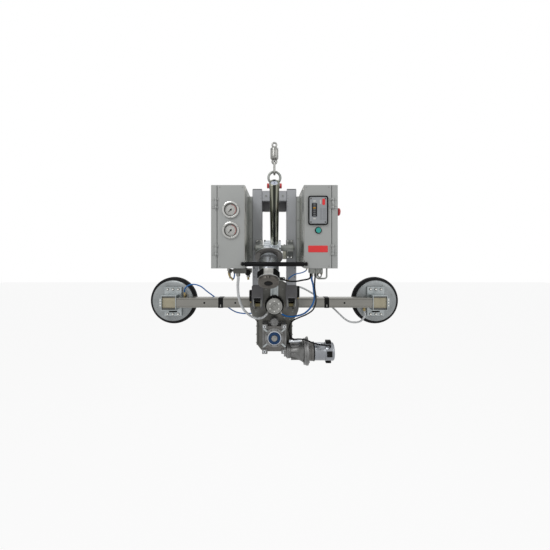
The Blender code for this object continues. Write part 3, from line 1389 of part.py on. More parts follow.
def rotation_motor():
    """Rotation motor: round flange, adapter and can."""
    start = BELL_END + SEAT
    profile = [
        (0, DRIVE_CAN_END), (DRIVE_CAN, DRIVE_CAN_END), (DRIVE_CAN, DRIVE_ADAPTER_END + 0.003),
        (DRIVE_ADAPTER + 0.002, DRIVE_ADAPTER_END + 0.003), (DRIVE_ADAPTER + 0.002, DRIVE_ADAPTER_END),
        (DRIVE_ADAPTER, DRIVE_ADAPTER_END), (DRIVE_ADAPTER, DRIVE_FLANGE_END),
        (DRIVE_FLANGE - 0.002, DRIVE_FLANGE_END),
        (DRIVE_FLANGE, DRIVE_FLANGE_END - 0.002), (DRIVE_FLANGE, start + 0.012),
        (DRIVE_FLANGE - 0.004, start + 0.011),
        (DRIVE_FLANGE - 0.004, start), (0, start),
    ]
    motor = turned("rotation_motor", profile, (0, DRIVE_Y, DRIVE_Z), (1, 0, 0))
    own_material(motor, "steel")
    return motor


def rotation_motor_cap():
    """End cap of the rotation motor, with its brush covers."""
    start = DRIVE_CAN_END + SEAT
    profile = [
        (0, DRIVE_END), (DRIVE_CAP - 0.006, DRIVE_END), (DRIVE_CAP, DRIVE_END - 0.006),
        (DRIVE_CAP, start), (0, start),
    ]
    cap = turned("rotation_motor_cap", profile, (0, DRIVE_Y, DRIVE_Z), (1, 0, 0))
    x = (start + 0.004, DRIVE_END - 0.016)
    for sign in (-1, 1):
        z = mirrored(sign, (DRIVE_CAP - 0.022, DRIVE_CAP + BRUSH_PROUD))
        cover = block("brush_cover", x, (DRIVE_Y - BRUSH_WIDTH / 2, DRIVE_Y + BRUSH_WIDTH / 2),
                      (DRIVE_Z + z[0], DRIVE_Z + z[1]), 0.003)
        weld(cap, cover)
    own_material(cap, "steel")
    return cap


# Gears


def involute(angle):
    """Return the involute function of a pressure angle."""
    return math.tan(angle) - angle


def gear_outline(teeth, centre, first_tooth):
    """Return the outline of an external gear with one tooth centred at first_tooth degrees."""
    pitch = GEAR_MODULE * teeth / 2
    pressure = math.radians(20)
    base = pitch * math.cos(pressure)
    tip = pitch + GEAR_MODULE
    root = pitch - 1.25 * GEAR_MODULE
    half_at_pitch = math.pi / (2 * teeth) - GEAR_BACKLASH / (2 * pitch)
    flank = []
    for radius in (max(root, base), tip):
        flank.append((radius, half_at_pitch + involute(pressure) - involute(math.acos(base / radius))))
    flank[0] = (root, flank[0][1])
    points = []
    for i in range(teeth):
        middle = math.radians(first_tooth) + 2 * math.pi * i / teeth
        for radius, half in flank:
            points.append((radius, middle - half))
        for radius, half in reversed(flank):
            points.append((radius, middle + half))
    return [(centre[0] + r * math.cos(a), centre[1] + r * math.sin(a)) for r, a in points]


def ring_gear():
    """Ring gear on the rotor, with lightening holes, the hub and the spindle that runs in the plate."""
    middle = GEAR_BACK - GEAR_THICKNESS / 2
    outlines = [gear_outline(RING_TEETH, (0, AXIS_Z), -90)]
    hole_circle = (HUB_RADIUS + GEAR_MODULE * RING_TEETH / 2 - 1.25 * GEAR_MODULE) / 2
    for i in range(RING_WINDOWS):
        angle = math.radians(360 * i / RING_WINDOWS)
        centre = (hole_circle * math.cos(angle), AXIS_Z + hole_circle * math.sin(angle))
        outlines.append(arc(centre, RING_WINDOW_RADIUS, 0, 360, 12)[:-1])
    gear = slab("ring_gear", outlines, GEAR_THICKNESS, facing_front(middle))
    hub_back = BEAM_FRONT - SEAT
    hub = drum("hub", (0, (GEAR_BACK - OVERLAP + hub_back) / 2, AXIS_Z), HUB_RADIUS,
               hub_back - GEAR_BACK + OVERLAP, (0, 1, 0))
    front = PLATE_FRONT + SEAT
    spindle_back = GEAR_BACK - GEAR_THICKNESS + OVERLAP
    spindle = drum("spindle", (0, (front + spindle_back) / 2, AXIS_Z), SPINDLE_RADIUS,
                   spindle_back - front, (0, 1, 0), SMALL_SIDES)
    weld(gear, hub, spindle)
    own_material(gear, "steel")
    return gear


def drive_pinion():
    """Pinion on the gearbox's output shaft, which shows at the front inside the seal."""
    middle = GEAR_BACK - GEAR_THICKNESS / 2
    first = 90 + 180 / PINION_TEETH
    pinion = slab("drive_pinion", [gear_outline(PINION_TEETH, (0, OUTPUT_Z), first)],
                  GEAR_THICKNESS - 0.001, facing_front(middle))
    front = GEARBOX_FRONT - GEARBOX_RIM_HEIGHT - SEAL_HEIGHT - SHAFT_PROUD
    back = middle + GEAR_THICKNESS / 2
    shaft = drum("shaft", (0, (front + back) / 2, OUTPUT_Z), SHAFT_RADIUS, back - front, (0, 1, 0),
                 SMALL_SIDES)
    soften(shaft, FINE_EDGE)
    weld(pinion, shaft)
    own_material(pinion, "steel")
    return pinion


# Rotor


def cross_beam():
    """Aluminium section across the rotor, with grooves along its faces and bolt holes."""
    half = BEAM_SIZE / 2
    side = [(-half, -half)]
    for place in (-0.35, 0.35):
        centre = place * BEAM_SIZE
        side += [(centre - BEAM_GROOVE, -half), (centre, -half + BEAM_GROOVE),
                 (centre + BEAM_GROOVE, -half)]
    outline = []
    for quarter in range(4):
        turn = math.radians(90 * quarter)
        for u, v in side:
            outline.append((u * math.cos(turn) - v * math.sin(turn),
                            u * math.sin(turn) + v * math.cos(turn)))
    inner = half - BEAM_WALL
    hole = [(-inner, -inner), (inner, -inner), (inner, inner), (-inner, inner)]
    place = (BEAM_FRONT + half, AXIS_Z)
    outlines = [[(u + place[0], v + place[1]) for u, v in points] for points in (outline, hole)]
    length = 2 * (PAD_X - SOCKET_SIZE / 2 - SEAT)
    beam = slab("cross_beam", outlines, length, facing_side(0))
    for x in BEAM_HOLES:
        for sign in (-1, 1):
            subtract(beam, bore_cutter("bolt_hole", (sign * x, place[0], AXIS_Z), BEAM_HOLE_RADIUS,
                                       THROUGH, (0, 1, 0), TINY_SIDES))
    own_material(beam, "aluminium")
    return beam


def pad_bracket(sign):
    """Square socket on the beam's end and the channel behind it, bolted to the disc."""
    x = mirrored(sign, (PAD_X - SOCKET_SIZE / 2, PAD_X + SOCKET_SIZE / 2))
    half = SOCKET_SIZE / 2
    z = (AXIS_Z - half, AXIS_Z + half)
    back = SOCKET_FRONT + SOCKET_DEPTH
    socket = block("pad_bracket_" + side_name(sign), x, (SOCKET_FRONT, back), z, EDGE)
    recess = block("recess", (x[0] + SOCKET_RIM, x[1] - SOCKET_RIM),
                   (SOCKET_FRONT - SHORT_CUT, SOCKET_FRONT + SOCKET_RECESS),
                   (z[0] + SOCKET_RIM, z[1] - SOCKET_RIM))
    subtract(socket, recess)
    outside = PAD_X + SOCKET_SIZE / 2
    stop_x = mirrored(sign, (outside - OVERLAP, outside + STOP_BLOCK_WIDTH))
    stop_z = (AXIS_Z - STOP_BLOCK_HEIGHT / 2, AXIS_Z + STOP_BLOCK_HEIGHT / 2)
    weld(socket, block("stop", stop_x, (SOCKET_FRONT + 0.015, back - 0.010), stop_z, FINE_EDGE))
    channel_x = mirrored(sign, (CHANNEL_X - CHANNEL_WIDTH / 2, CHANNEL_X + CHANNEL_WIDTH / 2))
    channel_z = (AXIS_Z - CHANNEL_HEIGHT / 2, AXIS_Z + CHANNEL_HEIGHT / 2)
    front = back - OVERLAP
    rear = DISC_FRONT - SEAT
    channel = block("channel", channel_x, (front, rear), channel_z, FINE_EDGE)
    hollow = block("hollow", (channel_x[0] + CHANNEL_WALL, channel_x[1] - CHANNEL_WALL),
                   (front + CHANNEL_WALL, rear + SHORT_CUT),
                   (channel_z[0] - SHORT_CUT, channel_z[1] + SHORT_CUT))
    subtract(channel, hollow)
    weld(socket, channel)
    own_material(socket, "zinc")
    return socket


def suction_disc(sign):
    """Metal disc of a pad, with the elbow that its hose leaves."""
    profile = [
        (0, DISC_THICKNESS), (DISC_RADIUS - 0.014, DISC_THICKNESS),
        (DISC_RADIUS, DISC_THICKNESS - DISC_DISH),
        (DISC_RADIUS, 0), (0, 0),
    ]
    back = DISC_FRONT + DISC_THICKNESS
    disc = turned("suction_disc_" + side_name(sign), profile, (sign * PAD_X, back, AXIS_Z), (0, -1, 0),
                  PAD_SIDES)
    x = sign * (PAD_X - PAD_PORT_X)
    height = AXIS_Z - sign * PAD_PORT_Z
    y = PAD_PORT_Y
    stub = drum("stub", (x, (y + DISC_FRONT + OVERLAP) / 2, height), PAD_PORT_RADIUS - 0.0005,
                DISC_FRONT + OVERLAP - y, (0, 1, 0), TINY_SIDES)
    end = height - sign * PAD_PORT_LENGTH
    start = height + sign * PAD_PORT_RADIUS
    elbow = drum("elbow", (x, y, (start + end) / 2), PAD_PORT_RADIUS, abs(start - end), (0, 0, 1),
                 TINY_SIDES)
    weld(disc, stub, elbow)
    own_material(disc, "steel")
    return disc


def rubber_lip(sign):
    """Rubber ring behind the disc, which seals against the glass."""
    top = LIP_DEPTH
    profile = [
        (DISC_RADIUS + 0.004, top), (LIP_RADIUS - 0.004, top - 0.005), (LIP_RADIUS, top - 0.014),
        (LIP_RADIUS, 0.006),
        (LIP_RADIUS - 0.004, 0), (LIP_INNER + 0.006, 0), (LIP_INNER, 0.010), (LIP_INNER, top),
    ]
    back = DISC_FRONT + DISC_THICKNESS + SEAT + LIP_DEPTH
    lip = turned("rubber_lip_" + side_name(sign), profile, (sign * PAD_X, back, AXIS_Z), (0, -1, 0),
                 PAD_SIDES)
    own_material(lip, "rubber")
    return lip


# Fittings below the cases and beside the uprights


def manifold_left():
    """Drain manifold under the left case, with a valve and a drain tube."""
    top = CASE_BOTTOM - SEAT
    body = block("manifold_left", MANIFOLD_LEFT, MANIFOLD_Y, (top - MANIFOLD_HEIGHT, top), EDGE)
    y = (MANIFOLD_Y[0] + MANIFOLD_Y[1]) / 2
    z = top - MANIFOLD_HEIGHT / 2
    valve = drum("valve", (MANIFOLD_LEFT[1] + 0.012, y, z), 0.011, 0.026, (1, 0, 0), SMALL_SIDES)
    nipple = drum("nipple", (MANIFOLD_LEFT[0] - 0.010, y, z), 0.006, 0.022, (1, 0, 0), TINY_SIDES)
    hexagon = drum("hexagon", (MANIFOLD_LEFT[0] - 0.020, y, z - 0.002), 0.010, 0.018, sides=6)
    drain = drum("drain", (MANIFOLD_LEFT[0] - 0.020, y, z - 0.024), 0.004, 0.030, sides=TINY_SIDES)
    weld(body, valve, nipple, hexagon, drain)
    own_material(body, "steel")
    return body


def manifold_right():
    """Manifold under the right case, with the bent guard in front of it."""
    top = CASE_BOTTOM - SEAT
    body = block("manifold_right", MANIFOLD_RIGHT, MANIFOLD_Y, (top - MANIFOLD_HEIGHT, top), EDGE)
    guard_x = (MANIFOLD_RIGHT[1] - 0.032, MANIFOLD_RIGHT[1] + 0.018)
    y = MANIFOLD_Y[0] - 0.003
    low = top - GUARD_DROP
    corner = 0.012
    path = [(guard_x[0], top)] + arc((guard_x[0] + corner, low + corner), corner, 180, 270, 4)
    path += arc((guard_x[1] - corner, low + corner), corner, 270, 360, 4) + [(guard_x[1], top)]
    weld(body, bent_tube("guard", [(x, y, z) for x, z in path], 0.004, 2))
    own_material(body, "steel")
    return body


def switch_cylinder(sign):
    """Black cylinder clamped to the outer side of an upright."""
    x = sign * (UPRIGHT_INNER + UPRIGHT_WIDTH + SEAT + SWITCH_RADIUS)
    top = SWITCH_TOPS[side_name(sign)]
    body = drum("switch_" + side_name(sign), (x, SWITCH_Y, top - SWITCH_LENGTH / 2), SWITCH_RADIUS,
                SWITCH_LENGTH, sides=SMALL_SIDES)
    soften(body, FINE_EDGE)
    own_material(body, "black_plastic")
    return body


def limit_switch():
    """Limit switch on the inner side of the right upright."""
    x = (UPRIGHT_INNER - SEAT - LIMIT_SWITCH[0], UPRIGHT_INNER - SEAT)
    y = (FRAME_FRONT + 0.004, FRAME_FRONT + 0.004 + LIMIT_SWITCH[1])
    body = block("limit_switch", x, y, (LIMIT_SWITCH_TOP - LIMIT_SWITCH[2], LIMIT_SWITCH_TOP), EDGE)
    own_material(body, "beige_plastic")
    return body


# Assembly


def joint_empty(name, place):
    """Add an empty on a joint's axis."""
    empty = bpy.data.objects.new(name, None)
    empty.empty_display_size = 0.05
    empty.location = place
    PARTS.objects.link(empty)
    return empty


def carry(empty, pieces, parent=None):
    """Parent pieces to an empty, and the empty to the one it moves with, where they stand."""
    for piece in pieces:
        piece.parent = empty
        piece.matrix_parent_inverse = Matrix.Translation(-Vector(empty.location))
    if parent:
        empty.parent = parent
        empty.matrix_parent_inverse = Matrix.Translation(-Vector(parent.location))


def build():
    """Build every piece and group it by the joint that moves it."""
    frame = actuator_frame()
    left_axis = hinge_axis(-1)
    right_axis = hinge_axis(1)

    hoist = joint_empty("hoist", (0, 0, 0))
    carry(hoist, [swivel_eye()])
    swivel = joint_empty("swivel_spin", (0, 0, 0))
    carry(swivel, [swivel_body(), lift_link()], hoist)
    bow = joint_empty("shackle_rock", (0, 0, LINK_BOTTOM))
    carry(bow, shackle(), swivel)

    chassis = joint_empty("frame_swing", (0, 0, SHACKLE_PIN_Z))
    fixed = crossbars() + [upright(-1), upright(1), tilt_pin(-1), tilt_pin(1)]
    fixed += [trunnion_bracket(-1), trunnion_bracket(1), case_left(), case_right(), control_panel(),
              handle_bar()]
    fixed += [gauge("gauge_upper", GAUGE_LEVELS[0]), gauge("gauge_lower", GAUGE_LEVELS[1])]
    fixed += [battery_pack(), vacuum_pump(), manifold_left(), manifold_right(), limit_switch()]
    fixed += [switch_cylinder(-1), switch_cylinder(1)]
    carry(chassis, fixed, bow)

    for name, level in (("needle_upper", GAUGE_LEVELS[0]), ("needle_lower", GAUGE_LEVELS[1])):
        carry(joint_empty(name + "_turn", (-GAUGE_X, CASE_FRONT, level)), [needle(name, level)], chassis)
    carry(joint_empty("button_press", (BUTTON_X, CASE_FRONT, BUTTON_Z)), [start_button()], chassis)
    carry(joint_empty("left_door_hinge", (*left_axis, CASE_TOP)), [door_left()], chassis)
    right_door = joint_empty("right_door_hinge", (*right_axis, CASE_TOP))
    carry(right_door, [door_right()], chassis)
    carry(joint_empty("stop_press", (CASE_INNER + CASE_WIDTH + DOOR_THICKNESS, STOP_Y, STOP_Z)),
          [stop_head()], right_door)

    actuator = joint_empty("actuator_swing", (0, TRUNNION_Y, TRUNNION_Z))
    carry(actuator, [gear_case(frame), actuator_tube(frame), tilt_motor(frame)], chassis)
    carry(joint_empty("rod_slide", (0, ROD_PIN_Y, ROD_PIN_Z)), [actuator_rod(frame)], actuator)

    tilt = joint_empty("tilt_hinge", (0, TILT_Y, TILT_Z))
    carried = [carrier_plate(), rod_clevis(), rotary_union(), worm_gearbox(), shaft_seal(), gear_bell()]
    carried += [rotation_motor(), rotation_motor_cap()]
    carry(tilt, carried, chassis)
    carry(joint_empty("pinion_spin", (0, GEAR_BACK, OUTPUT_Z)), [drive_pinion()], tilt)

    rotor = joint_empty("pad_rotation", (0, GEAR_BACK, AXIS_Z))
    turning = [ring_gear(), cross_beam()]
    for sign in (-1, 1):
        turning += [pad_bracket(sign), suction_disc(sign), rubber_lip(sign)]
    turning.append(line("left_pad_hose", LEFT_PAD_ROUTE, BLUE_HOSE, "blue_hose"))
    turning.append(line("right_pad_hose", RIGHT_PAD_ROUTE, GREY_HOSE, "clear_hose"))
    carry(rotor, turning, tilt)

    lines = [
        line("union_hose", follow_case(CLEAR_ROUTE, "first"), CLEAR_HOSE, "clear_hose"),
        line("union_feed", follow_case(FEED_ROUTE, "first"), FEED_HOSE, "blue_hose"),
        line("drive_cable", follow_case(DRIVE_CABLE_ROUTE, "first"), CABLE, "rubber"),
        line("tilt_cable", follow_case(TILT_CABLE_ROUTE, "last"), CABLE, "rubber"),
        line("small_line", follow_case(SMALL_LINE_ROUTE, "last"), SMALL_HOSE, "blue_hose"),
    ]
    carry(chassis, lines, bow)


build()
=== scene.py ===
"""Looks of the battery vacuum glass lifter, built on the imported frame.

Every size is in metres. The origin is the centre of the hoist eye, +Z is up, +X is to the operator's right
as seen from the front, and +Y runs from the operator's side to the glass.
"""

import json
import logging
import math
from dataclasses import dataclass, field
from enum import Enum
from typing import Iterable, Sequence

import bmesh
import bpy
from mathutils import Matrix, Vector

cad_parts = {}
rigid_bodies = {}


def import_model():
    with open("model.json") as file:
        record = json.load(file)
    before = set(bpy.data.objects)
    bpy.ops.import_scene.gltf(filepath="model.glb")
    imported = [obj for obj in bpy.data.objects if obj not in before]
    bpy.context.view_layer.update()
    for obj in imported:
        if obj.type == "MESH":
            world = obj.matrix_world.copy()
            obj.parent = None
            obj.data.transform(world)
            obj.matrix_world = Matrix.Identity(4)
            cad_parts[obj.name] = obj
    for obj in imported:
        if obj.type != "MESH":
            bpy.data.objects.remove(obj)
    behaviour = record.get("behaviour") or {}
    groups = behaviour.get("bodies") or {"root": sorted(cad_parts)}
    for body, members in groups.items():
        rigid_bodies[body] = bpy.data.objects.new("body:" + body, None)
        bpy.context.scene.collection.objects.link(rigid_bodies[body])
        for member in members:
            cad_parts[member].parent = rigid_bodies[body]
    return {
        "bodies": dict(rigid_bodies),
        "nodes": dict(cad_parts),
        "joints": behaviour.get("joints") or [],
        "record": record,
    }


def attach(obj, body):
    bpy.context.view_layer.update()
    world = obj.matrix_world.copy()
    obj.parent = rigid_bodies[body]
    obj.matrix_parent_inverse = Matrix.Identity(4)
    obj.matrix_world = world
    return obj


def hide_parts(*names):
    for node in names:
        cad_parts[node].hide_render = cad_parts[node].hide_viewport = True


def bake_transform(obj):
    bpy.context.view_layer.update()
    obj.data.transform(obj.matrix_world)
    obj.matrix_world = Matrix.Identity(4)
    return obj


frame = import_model()

LOG = logging.getLogger("glass_lifter")
MERGE_DISTANCE = 0.000002
COAT_ROUGHNESS = 0.12
PATCH_RANGE = (0.42, 0.70)
SPECK_RANGE = (0.90, 1.10)
LEAST_ROUGHNESS = 0.03
BROAD_DETAIL = 5.0
FINE_DETAIL = 3.0
ROW_FRAME = Matrix.Identity(4)
SIDES = (-1, 1)
# Gap between a face and the back of what stands on it
FACE_GAP = 0.0003
# Outer side of an upright, that gap included
UPRIGHT_SIDE = 0.1253

Point = tuple[float, float, float]
Pair = tuple[float, float]
Span = Pair
Outline = list[Pair]
Profile = Sequence[Pair]
Piece = bpy.types.Object
Socket = bpy.types.NodeSocket
Tree = bpy.types.NodeTree


class Body(Enum):
    """Rigid bodies of the frame that a piece can ride on."""

    HOIST = "hoist"
    SWIVEL = "swivel"
    SHACKLE = "shackle"
    CHASSIS = "chassis"
    UPPER_NEEDLE = "upper_needle"
    LOWER_NEEDLE = "lower_needle"
    BUTTON = "button"
    LEFT_DOOR = "left_door"
    RIGHT_DOOR = "right_door"
    STOP_BUTTON = "stop_button"
    ACTUATOR = "actuator"
    ROD = "rod"
    TILT_FRAME = "tilt_frame"
    PINION = "pinion"
    ROTOR = "rotor"


class Grain(Enum):
    """Direction in which a surface's fine marks run."""

    EVEN = (1.0, 1.0, 1.0)
    ALONG_X = (0.04, 1.0, 1.0)
    ALONG_Z = (1.0, 1.0, 0.04)


class Unit(Enum):
    """Small shapes that a repeat can set out."""

    PRISM = "prism"
    BAR = "bar"


# Node tools


def fill(tree: Tree, node: bpy.types.Node, inputs: dict) -> None:
    """Fill a node's inputs.

    Args:
        tree: The node tree.
        node: The node.
        inputs: For each input, a socket that is linked to it or a constant that is set on it.
    """
    for key, value in inputs.items():
        if isinstance(value, Socket):
            tree.links.new(value, node.inputs[key])
        else:
            node.inputs[key].default_value = value


def add_node(tree: Tree, kind: str, inputs: dict, **settings: str) -> bpy.types.Node:
    """Add a node.

    Args:
        tree: The node tree.
        kind: The node's type.
        inputs: See fill.
        settings: Values of the node's own properties.

    Returns:
        The node.
    """
    node = tree.nodes.new(kind)
    for name, value in settings.items():
        setattr(node, name, value)
    fill(tree, node, inputs)
    return node


# Finishes


@dataclass(frozen=True)
class Finish:
    """Procedural finish of one kind of surface.

    Colours are linear RGB. Mottle is the share of the second colour's patches, and fine and broad are the
    pattern sizes as counts per metre.
    """

    name: str
    colour: Point
    patches: Point
    roughness: float = 0.5
    metallic: float = 0.0
    mottle: float = 0.3
    broad: float = 9.0
    fine: float = 260.0
    bump: float = 0.15
    depth: float = 0.0004
    roughness_spread: float = 0.12
    grain: Grain = Grain.EVEN
    coat: float = 0.0
    transmission: float = 0.0
    specular: float = 0.5

    def material(self) -> bpy.types.Material:
        """Make the material once, from object coordinates that are stretched along the grain.

        Returns:
            The material.
        """
        found = bpy.data.materials.get(self.name)
        if found:
            return found
        material = bpy.data.materials.new(self.name)
        material.use_nodes = True
        tree = material.node_tree
        source = add_node(tree, "ShaderNodeTexCoord", {})
        place = add_node(tree, "ShaderNodeMapping", {"Vector": source.outputs["Object"], "Scale": self.grain.value})
        broad, fine = [add_node(tree, "ShaderNodeTexNoise",
                {"Vector": place.outputs["Vector"], "Scale": scale, "Detail": detail}).outputs["Fac"]
            for scale, detail in ((self.broad, BROAD_DETAIL), (self.fine, FINE_DETAIL))]
        gloss = add_node(tree, "ShaderNodeMapRange", {"Value": broad,
            "To Min": max(LEAST_ROUGHNESS, self.roughness - self.roughness_spread),
            "To Max": min(1.0, self.roughness + self.roughness_spread)})
        bump = add_node(tree, "ShaderNodeBump", {"Strength": self.bump, "Distance": self.depth, "Height": fine})
        fill(tree, tree.nodes["Principled BSDF"], {"Base Color": self.pattern(tree, broad, fine),
            "Roughness": gloss.outputs["Result"], "Normal": bump.outputs["Normal"], "Metallic": self.metallic,
            "Coat Weight": self.coat, "Coat Roughness": COAT_ROUGHNESS, "Specular IOR Level": self.specular,
            "Transmission Weight": self.transmission})
        return material

    def pattern(self, tree: Tree, broad: Socket, fine: Socket) -> Socket:
        """Lay the two colours in patches and darken and lighten them with fine specks.

        Args:
            tree: The material's node tree.
            broad: Value of the large pattern.
            fine: Value of the small pattern.

        Returns:
            The colour's socket.
        """
        share = add_node(tree, "ShaderNodeMapRange",
            {"Value": broad, "From Min": PATCH_RANGE[0], "From Max": PATCH_RANGE[1], "To Max": self.mottle})
        mix = add_node(tree, "ShaderNodeMix",
            {"A": (*self.colour, 1.0), "B": (*self.patches, 1.0), "Factor": share.outputs["Result"]},
            data_type="RGBA")
        speck = add_node(tree, "ShaderNodeMapRange",
            {"Value": fine, "To Min": SPECK_RANGE[0], "To Max": SPECK_RANGE[1]})
        shade = add_node(tree, "ShaderNodeMix",
            {"Factor": 1.0, "A": mix.outputs["Result"], "B": speck.outputs["Result"]}, data_type="RGBA",
            blend_type="MULTIPLY")
        return shade.outputs["Result"]


@dataclass(frozen=True)
class TubeFinish(Finish):
    """Polished tube with painted reflections: dark and bright bands along it in the place of patches."""

    half_width: float = 0.021
    # Colours from one side of the tube to the other: painted reflections of dark and bright surroundings.
    bands: tuple[tuple[float, Point], ...] = ((0.0, (0.07, 0.074, 0.058)), (0.08, (0.15, 0.152, 0.115)),
        (0.15, (0.37, 0.37, 0.3)), (0.24, (0.2, 0.204, 0.158)), (0.31, (0.33, 0.334, 0.275)),
        (0.37, (0.034, 0.036, 0.03)), (0.62, (0.026, 0.028, 0.024)), (0.68, (0.38, 0.384, 0.32)),
        (0.8, (0.16, 0.164, 0.125)), (0.9, (0.3, 0.302, 0.235)), (1.0, (0.06, 0.064, 0.048)))

    def pattern(self, tree: Tree, broad: Socket, fine: Socket) -> Socket:
        """Lay the painted reflection bands across the tube.

        Args:
            tree: The material's node tree.
            broad: Value of the large pattern, unused here.
            fine: Value of the small pattern, unused here.

        Returns:
            The colour's socket.
        """
        source = add_node(tree, "ShaderNodeTexCoord", {})
        axes = add_node(tree, "ShaderNodeSeparateXYZ", {0: source.outputs["Object"]})
        across = add_node(tree, "ShaderNodeMapRange",
            {"Value": axes.outputs["X"], "From Min": -self.half_width, "From Max": self.half_width})
        ramp = add_node(tree, "ShaderNodeValToRGB", {"Fac": across.outputs["Result"]})
        elements = ramp.color_ramp.elements
        elements[0].color = (*self.bands[0][1], 1.0)
        elements[1].color = (*self.bands[-1][1], 1.0)
        for position, colour in self.bands[1:-1]:
            elements.new(position).color = (*colour, 1.0)
        return ramp.outputs["Color"]


CASE_PAINT = Finish("case_paint_look", (0.365, 0.375, 0.365), (0.33, 0.34, 0.335), 0.42, 0.15, 0.5, 5.0, 900.0, 0.1)
FRAME_PAINT = Finish("frame_paint_look", (0.38, 0.39, 0.412), (0.295, 0.302, 0.32), 0.45, 0.15, 0.6, 7.0, 700.0,
    0.12)
# Dark frame paint: on the fork plates partly real paint and partly painted shade of the lower uprights; on the rear
# crossbar, painted shade of the bar lying in shadow.
FORK_PAINT_AND_SHADE = Finish("fork_paint_look", (0.13, 0.128, 0.134), (0.095, 0.093, 0.096), 0.5, 0.15, 0.6, 9.0, 700.0, 0.15,
    specular=0.3)
SIDE_SHEET = Finish("side_sheet_look", (0.34, 0.37, 0.34), (0.6, 0.57, 0.46), 0.26, 0.9, 0.9, 4.0, 60.0, 0.08,
    grain=Grain.ALONG_Z)
ZINC = Finish("zinc_look", (0.255, 0.265, 0.25), (0.165, 0.172, 0.16), 0.4, 0.85, 0.8, 22.0, 420.0, 0.12)
PLATE_ZINC = Finish("plate_zinc_look", (0.165, 0.163, 0.15), (0.095, 0.095, 0.086), 0.42, 0.8, 0.8, 14.0, 380.0,
    0.12)
BRACKET_ZINC = Finish("bracket_zinc_look", (0.42, 0.45, 0.455), (0.25, 0.28, 0.285), 0.35, 0.85, 0.8, 26.0, 420.0,
    0.12)
GAUGE_RING = Finish("gauge_ring_look", (0.5, 0.5, 0.485), (0.4, 0.4, 0.385), 0.24, 0.9, 0.5, 8.0, 500.0, 0.03)
DISC_METAL = Finish("disc_metal_look", (0.312, 0.332, 0.336), (0.235, 0.25, 0.253), 0.48, 0.7, 0.7, 12.0, 300.0, 0.1)
CHROME = Finish("chrome_look", (0.72, 0.72, 0.7), (0.6, 0.6, 0.56), 0.1, 1.0, 0.5, 6.0, 500.0, 0.03,
    roughness_spread=0.05)
# Chrome tube whose dark and bright bands are painted reflections.
TUBE_CHROME_REFLECTIONS = TubeFinish("tube_chrome_look", (0.42, 0.42, 0.37), (0.3, 0.3, 0.25), 0.16, 1.0, 0.7, 5.0, 300.0, 0.04,
    roughness_spread=0.06, grain=Grain.ALONG_Z)
TUBE_END = Finish("tube_end_look", (0.5, 0.54, 0.62), (0.44, 0.47, 0.54), 0.3, 0.6, 0.5, 30.0, 500.0, 0.05)
BEAM_METAL = Finish("beam_metal_look", (0.255, 0.25, 0.23), (0.205, 0.2, 0.182), 0.38, 0.75, 0.6, 6.0, 240.0, 0.1,
    grain=Grain.ALONG_X)
CAP_PLATE = Finish("cap_plate_look", (0.4, 0.365, 0.262), (0.33, 0.3, 0.21), 0.5, 0.35, 0.7, 16.0, 300.0, 0.1)
CAST = Finish("cast_look", (0.245, 0.245, 0.243), (0.135, 0.135, 0.13), 0.45, 0.75, 0.8, 30.0, 520.0, 0.35)
# Darker copy of CAST for the gear stage: painted shade.
SHADED_BELL_CAST = Finish("bell_cast_look", (0.185, 0.185, 0.182), (0.095, 0.095, 0.091), 0.45, 0.75, 0.8, 30.0, 520.0,
    0.35)
# Pale cast metal lightened past its own tone: partly the casting's colour, partly painted highlight on lit faces.
PALE_CAST_AND_HIGHLIGHT = Finish("bright_cast_look", (0.74, 0.77, 0.8), (0.5, 0.53, 0.56), 0.33, 0.75, 0.7, 24.0, 480.0, 0.2)
MOTOR_PAINT = Finish("motor_can_look", (0.3, 0.313, 0.335), (0.23, 0.24, 0.26), 0.28, 0.75, 0.6, 10.0, 400.0, 0.06)
MOTOR_END = Finish("motor_end_look", (0.115, 0.105, 0.092), (0.075, 0.068, 0.06), 0.42, 0.6, 0.7, 24.0, 420.0, 0.2)
CAP_SHELL = Finish("cap_shell_look", (0.62, 0.615, 0.59), (0.5, 0.495, 0.47), 0.42, 0.35, 0.6, 20.0, 420.0, 0.1)
DARK_FLANGE = Finish("dark_flange_look", (0.13, 0.125, 0.12), (0.2, 0.195, 0.185), 0.4, 0.7, 0.6, 26.0, 420.0, 0.2)
STEEL = Finish("steel_look", (0.31, 0.31, 0.295), (0.185, 0.185, 0.172), 0.3, 0.95, 0.6, 18.0, 420.0, 0.08)
DARK_STEEL = Finish("dark_steel_look", (0.115, 0.115, 0.108), (0.07, 0.07, 0.064), 0.38, 0.9, 0.6, 20.0, 420.0, 0.1)
BRASS = Finish("brass_look", (0.33, 0.255, 0.115), (0.22, 0.17, 0.075), 0.3, 0.95, 0.6, 30.0, 500.0, 0.06)
PIN_METAL = Finish("pin_metal_look", (0.135, 0.115, 0.058), (0.075, 0.066, 0.04), 0.34, 0.95, 0.6, 30.0, 500.0, 0.06)
BLACK_PLASTIC = Finish("black_plastic_look", (0.01, 0.01, 0.01), (0.016, 0.016, 0.016), 0.45, 0.0, 0.6, 20.0, 900.0,
    0.18, specular=0.07)
BLACK_POWDER = Finish("black_bar_look", (0.008, 0.008, 0.009), (0.013, 0.013, 0.014), 0.4, 0.0, 0.5, 12.0, 800.0, 0.2,
    specular=0.06)
RUBBER = Finish("rubber_look", (0.01, 0.01, 0.011), (0.016, 0.016, 0.017), 0.6, 0.0, 0.6, 14.0, 650.0, 0.2,
    specular=0.12)
CABLE_SKIN = Finish("cable_skin_look", (0.009, 0.009, 0.01), (0.015, 0.015, 0.016), 0.48, 0.0, 0.5, 30.0, 900.0, 0.1,
    specular=0.1)
RED_PAINT = Finish("red_paint_look", (0.55, 0.015, 0.02), (0.42, 0.01, 0.015), 0.35, 0.0, 0.4, 24.0, 500.0, 0.06,
    coat=0.4)
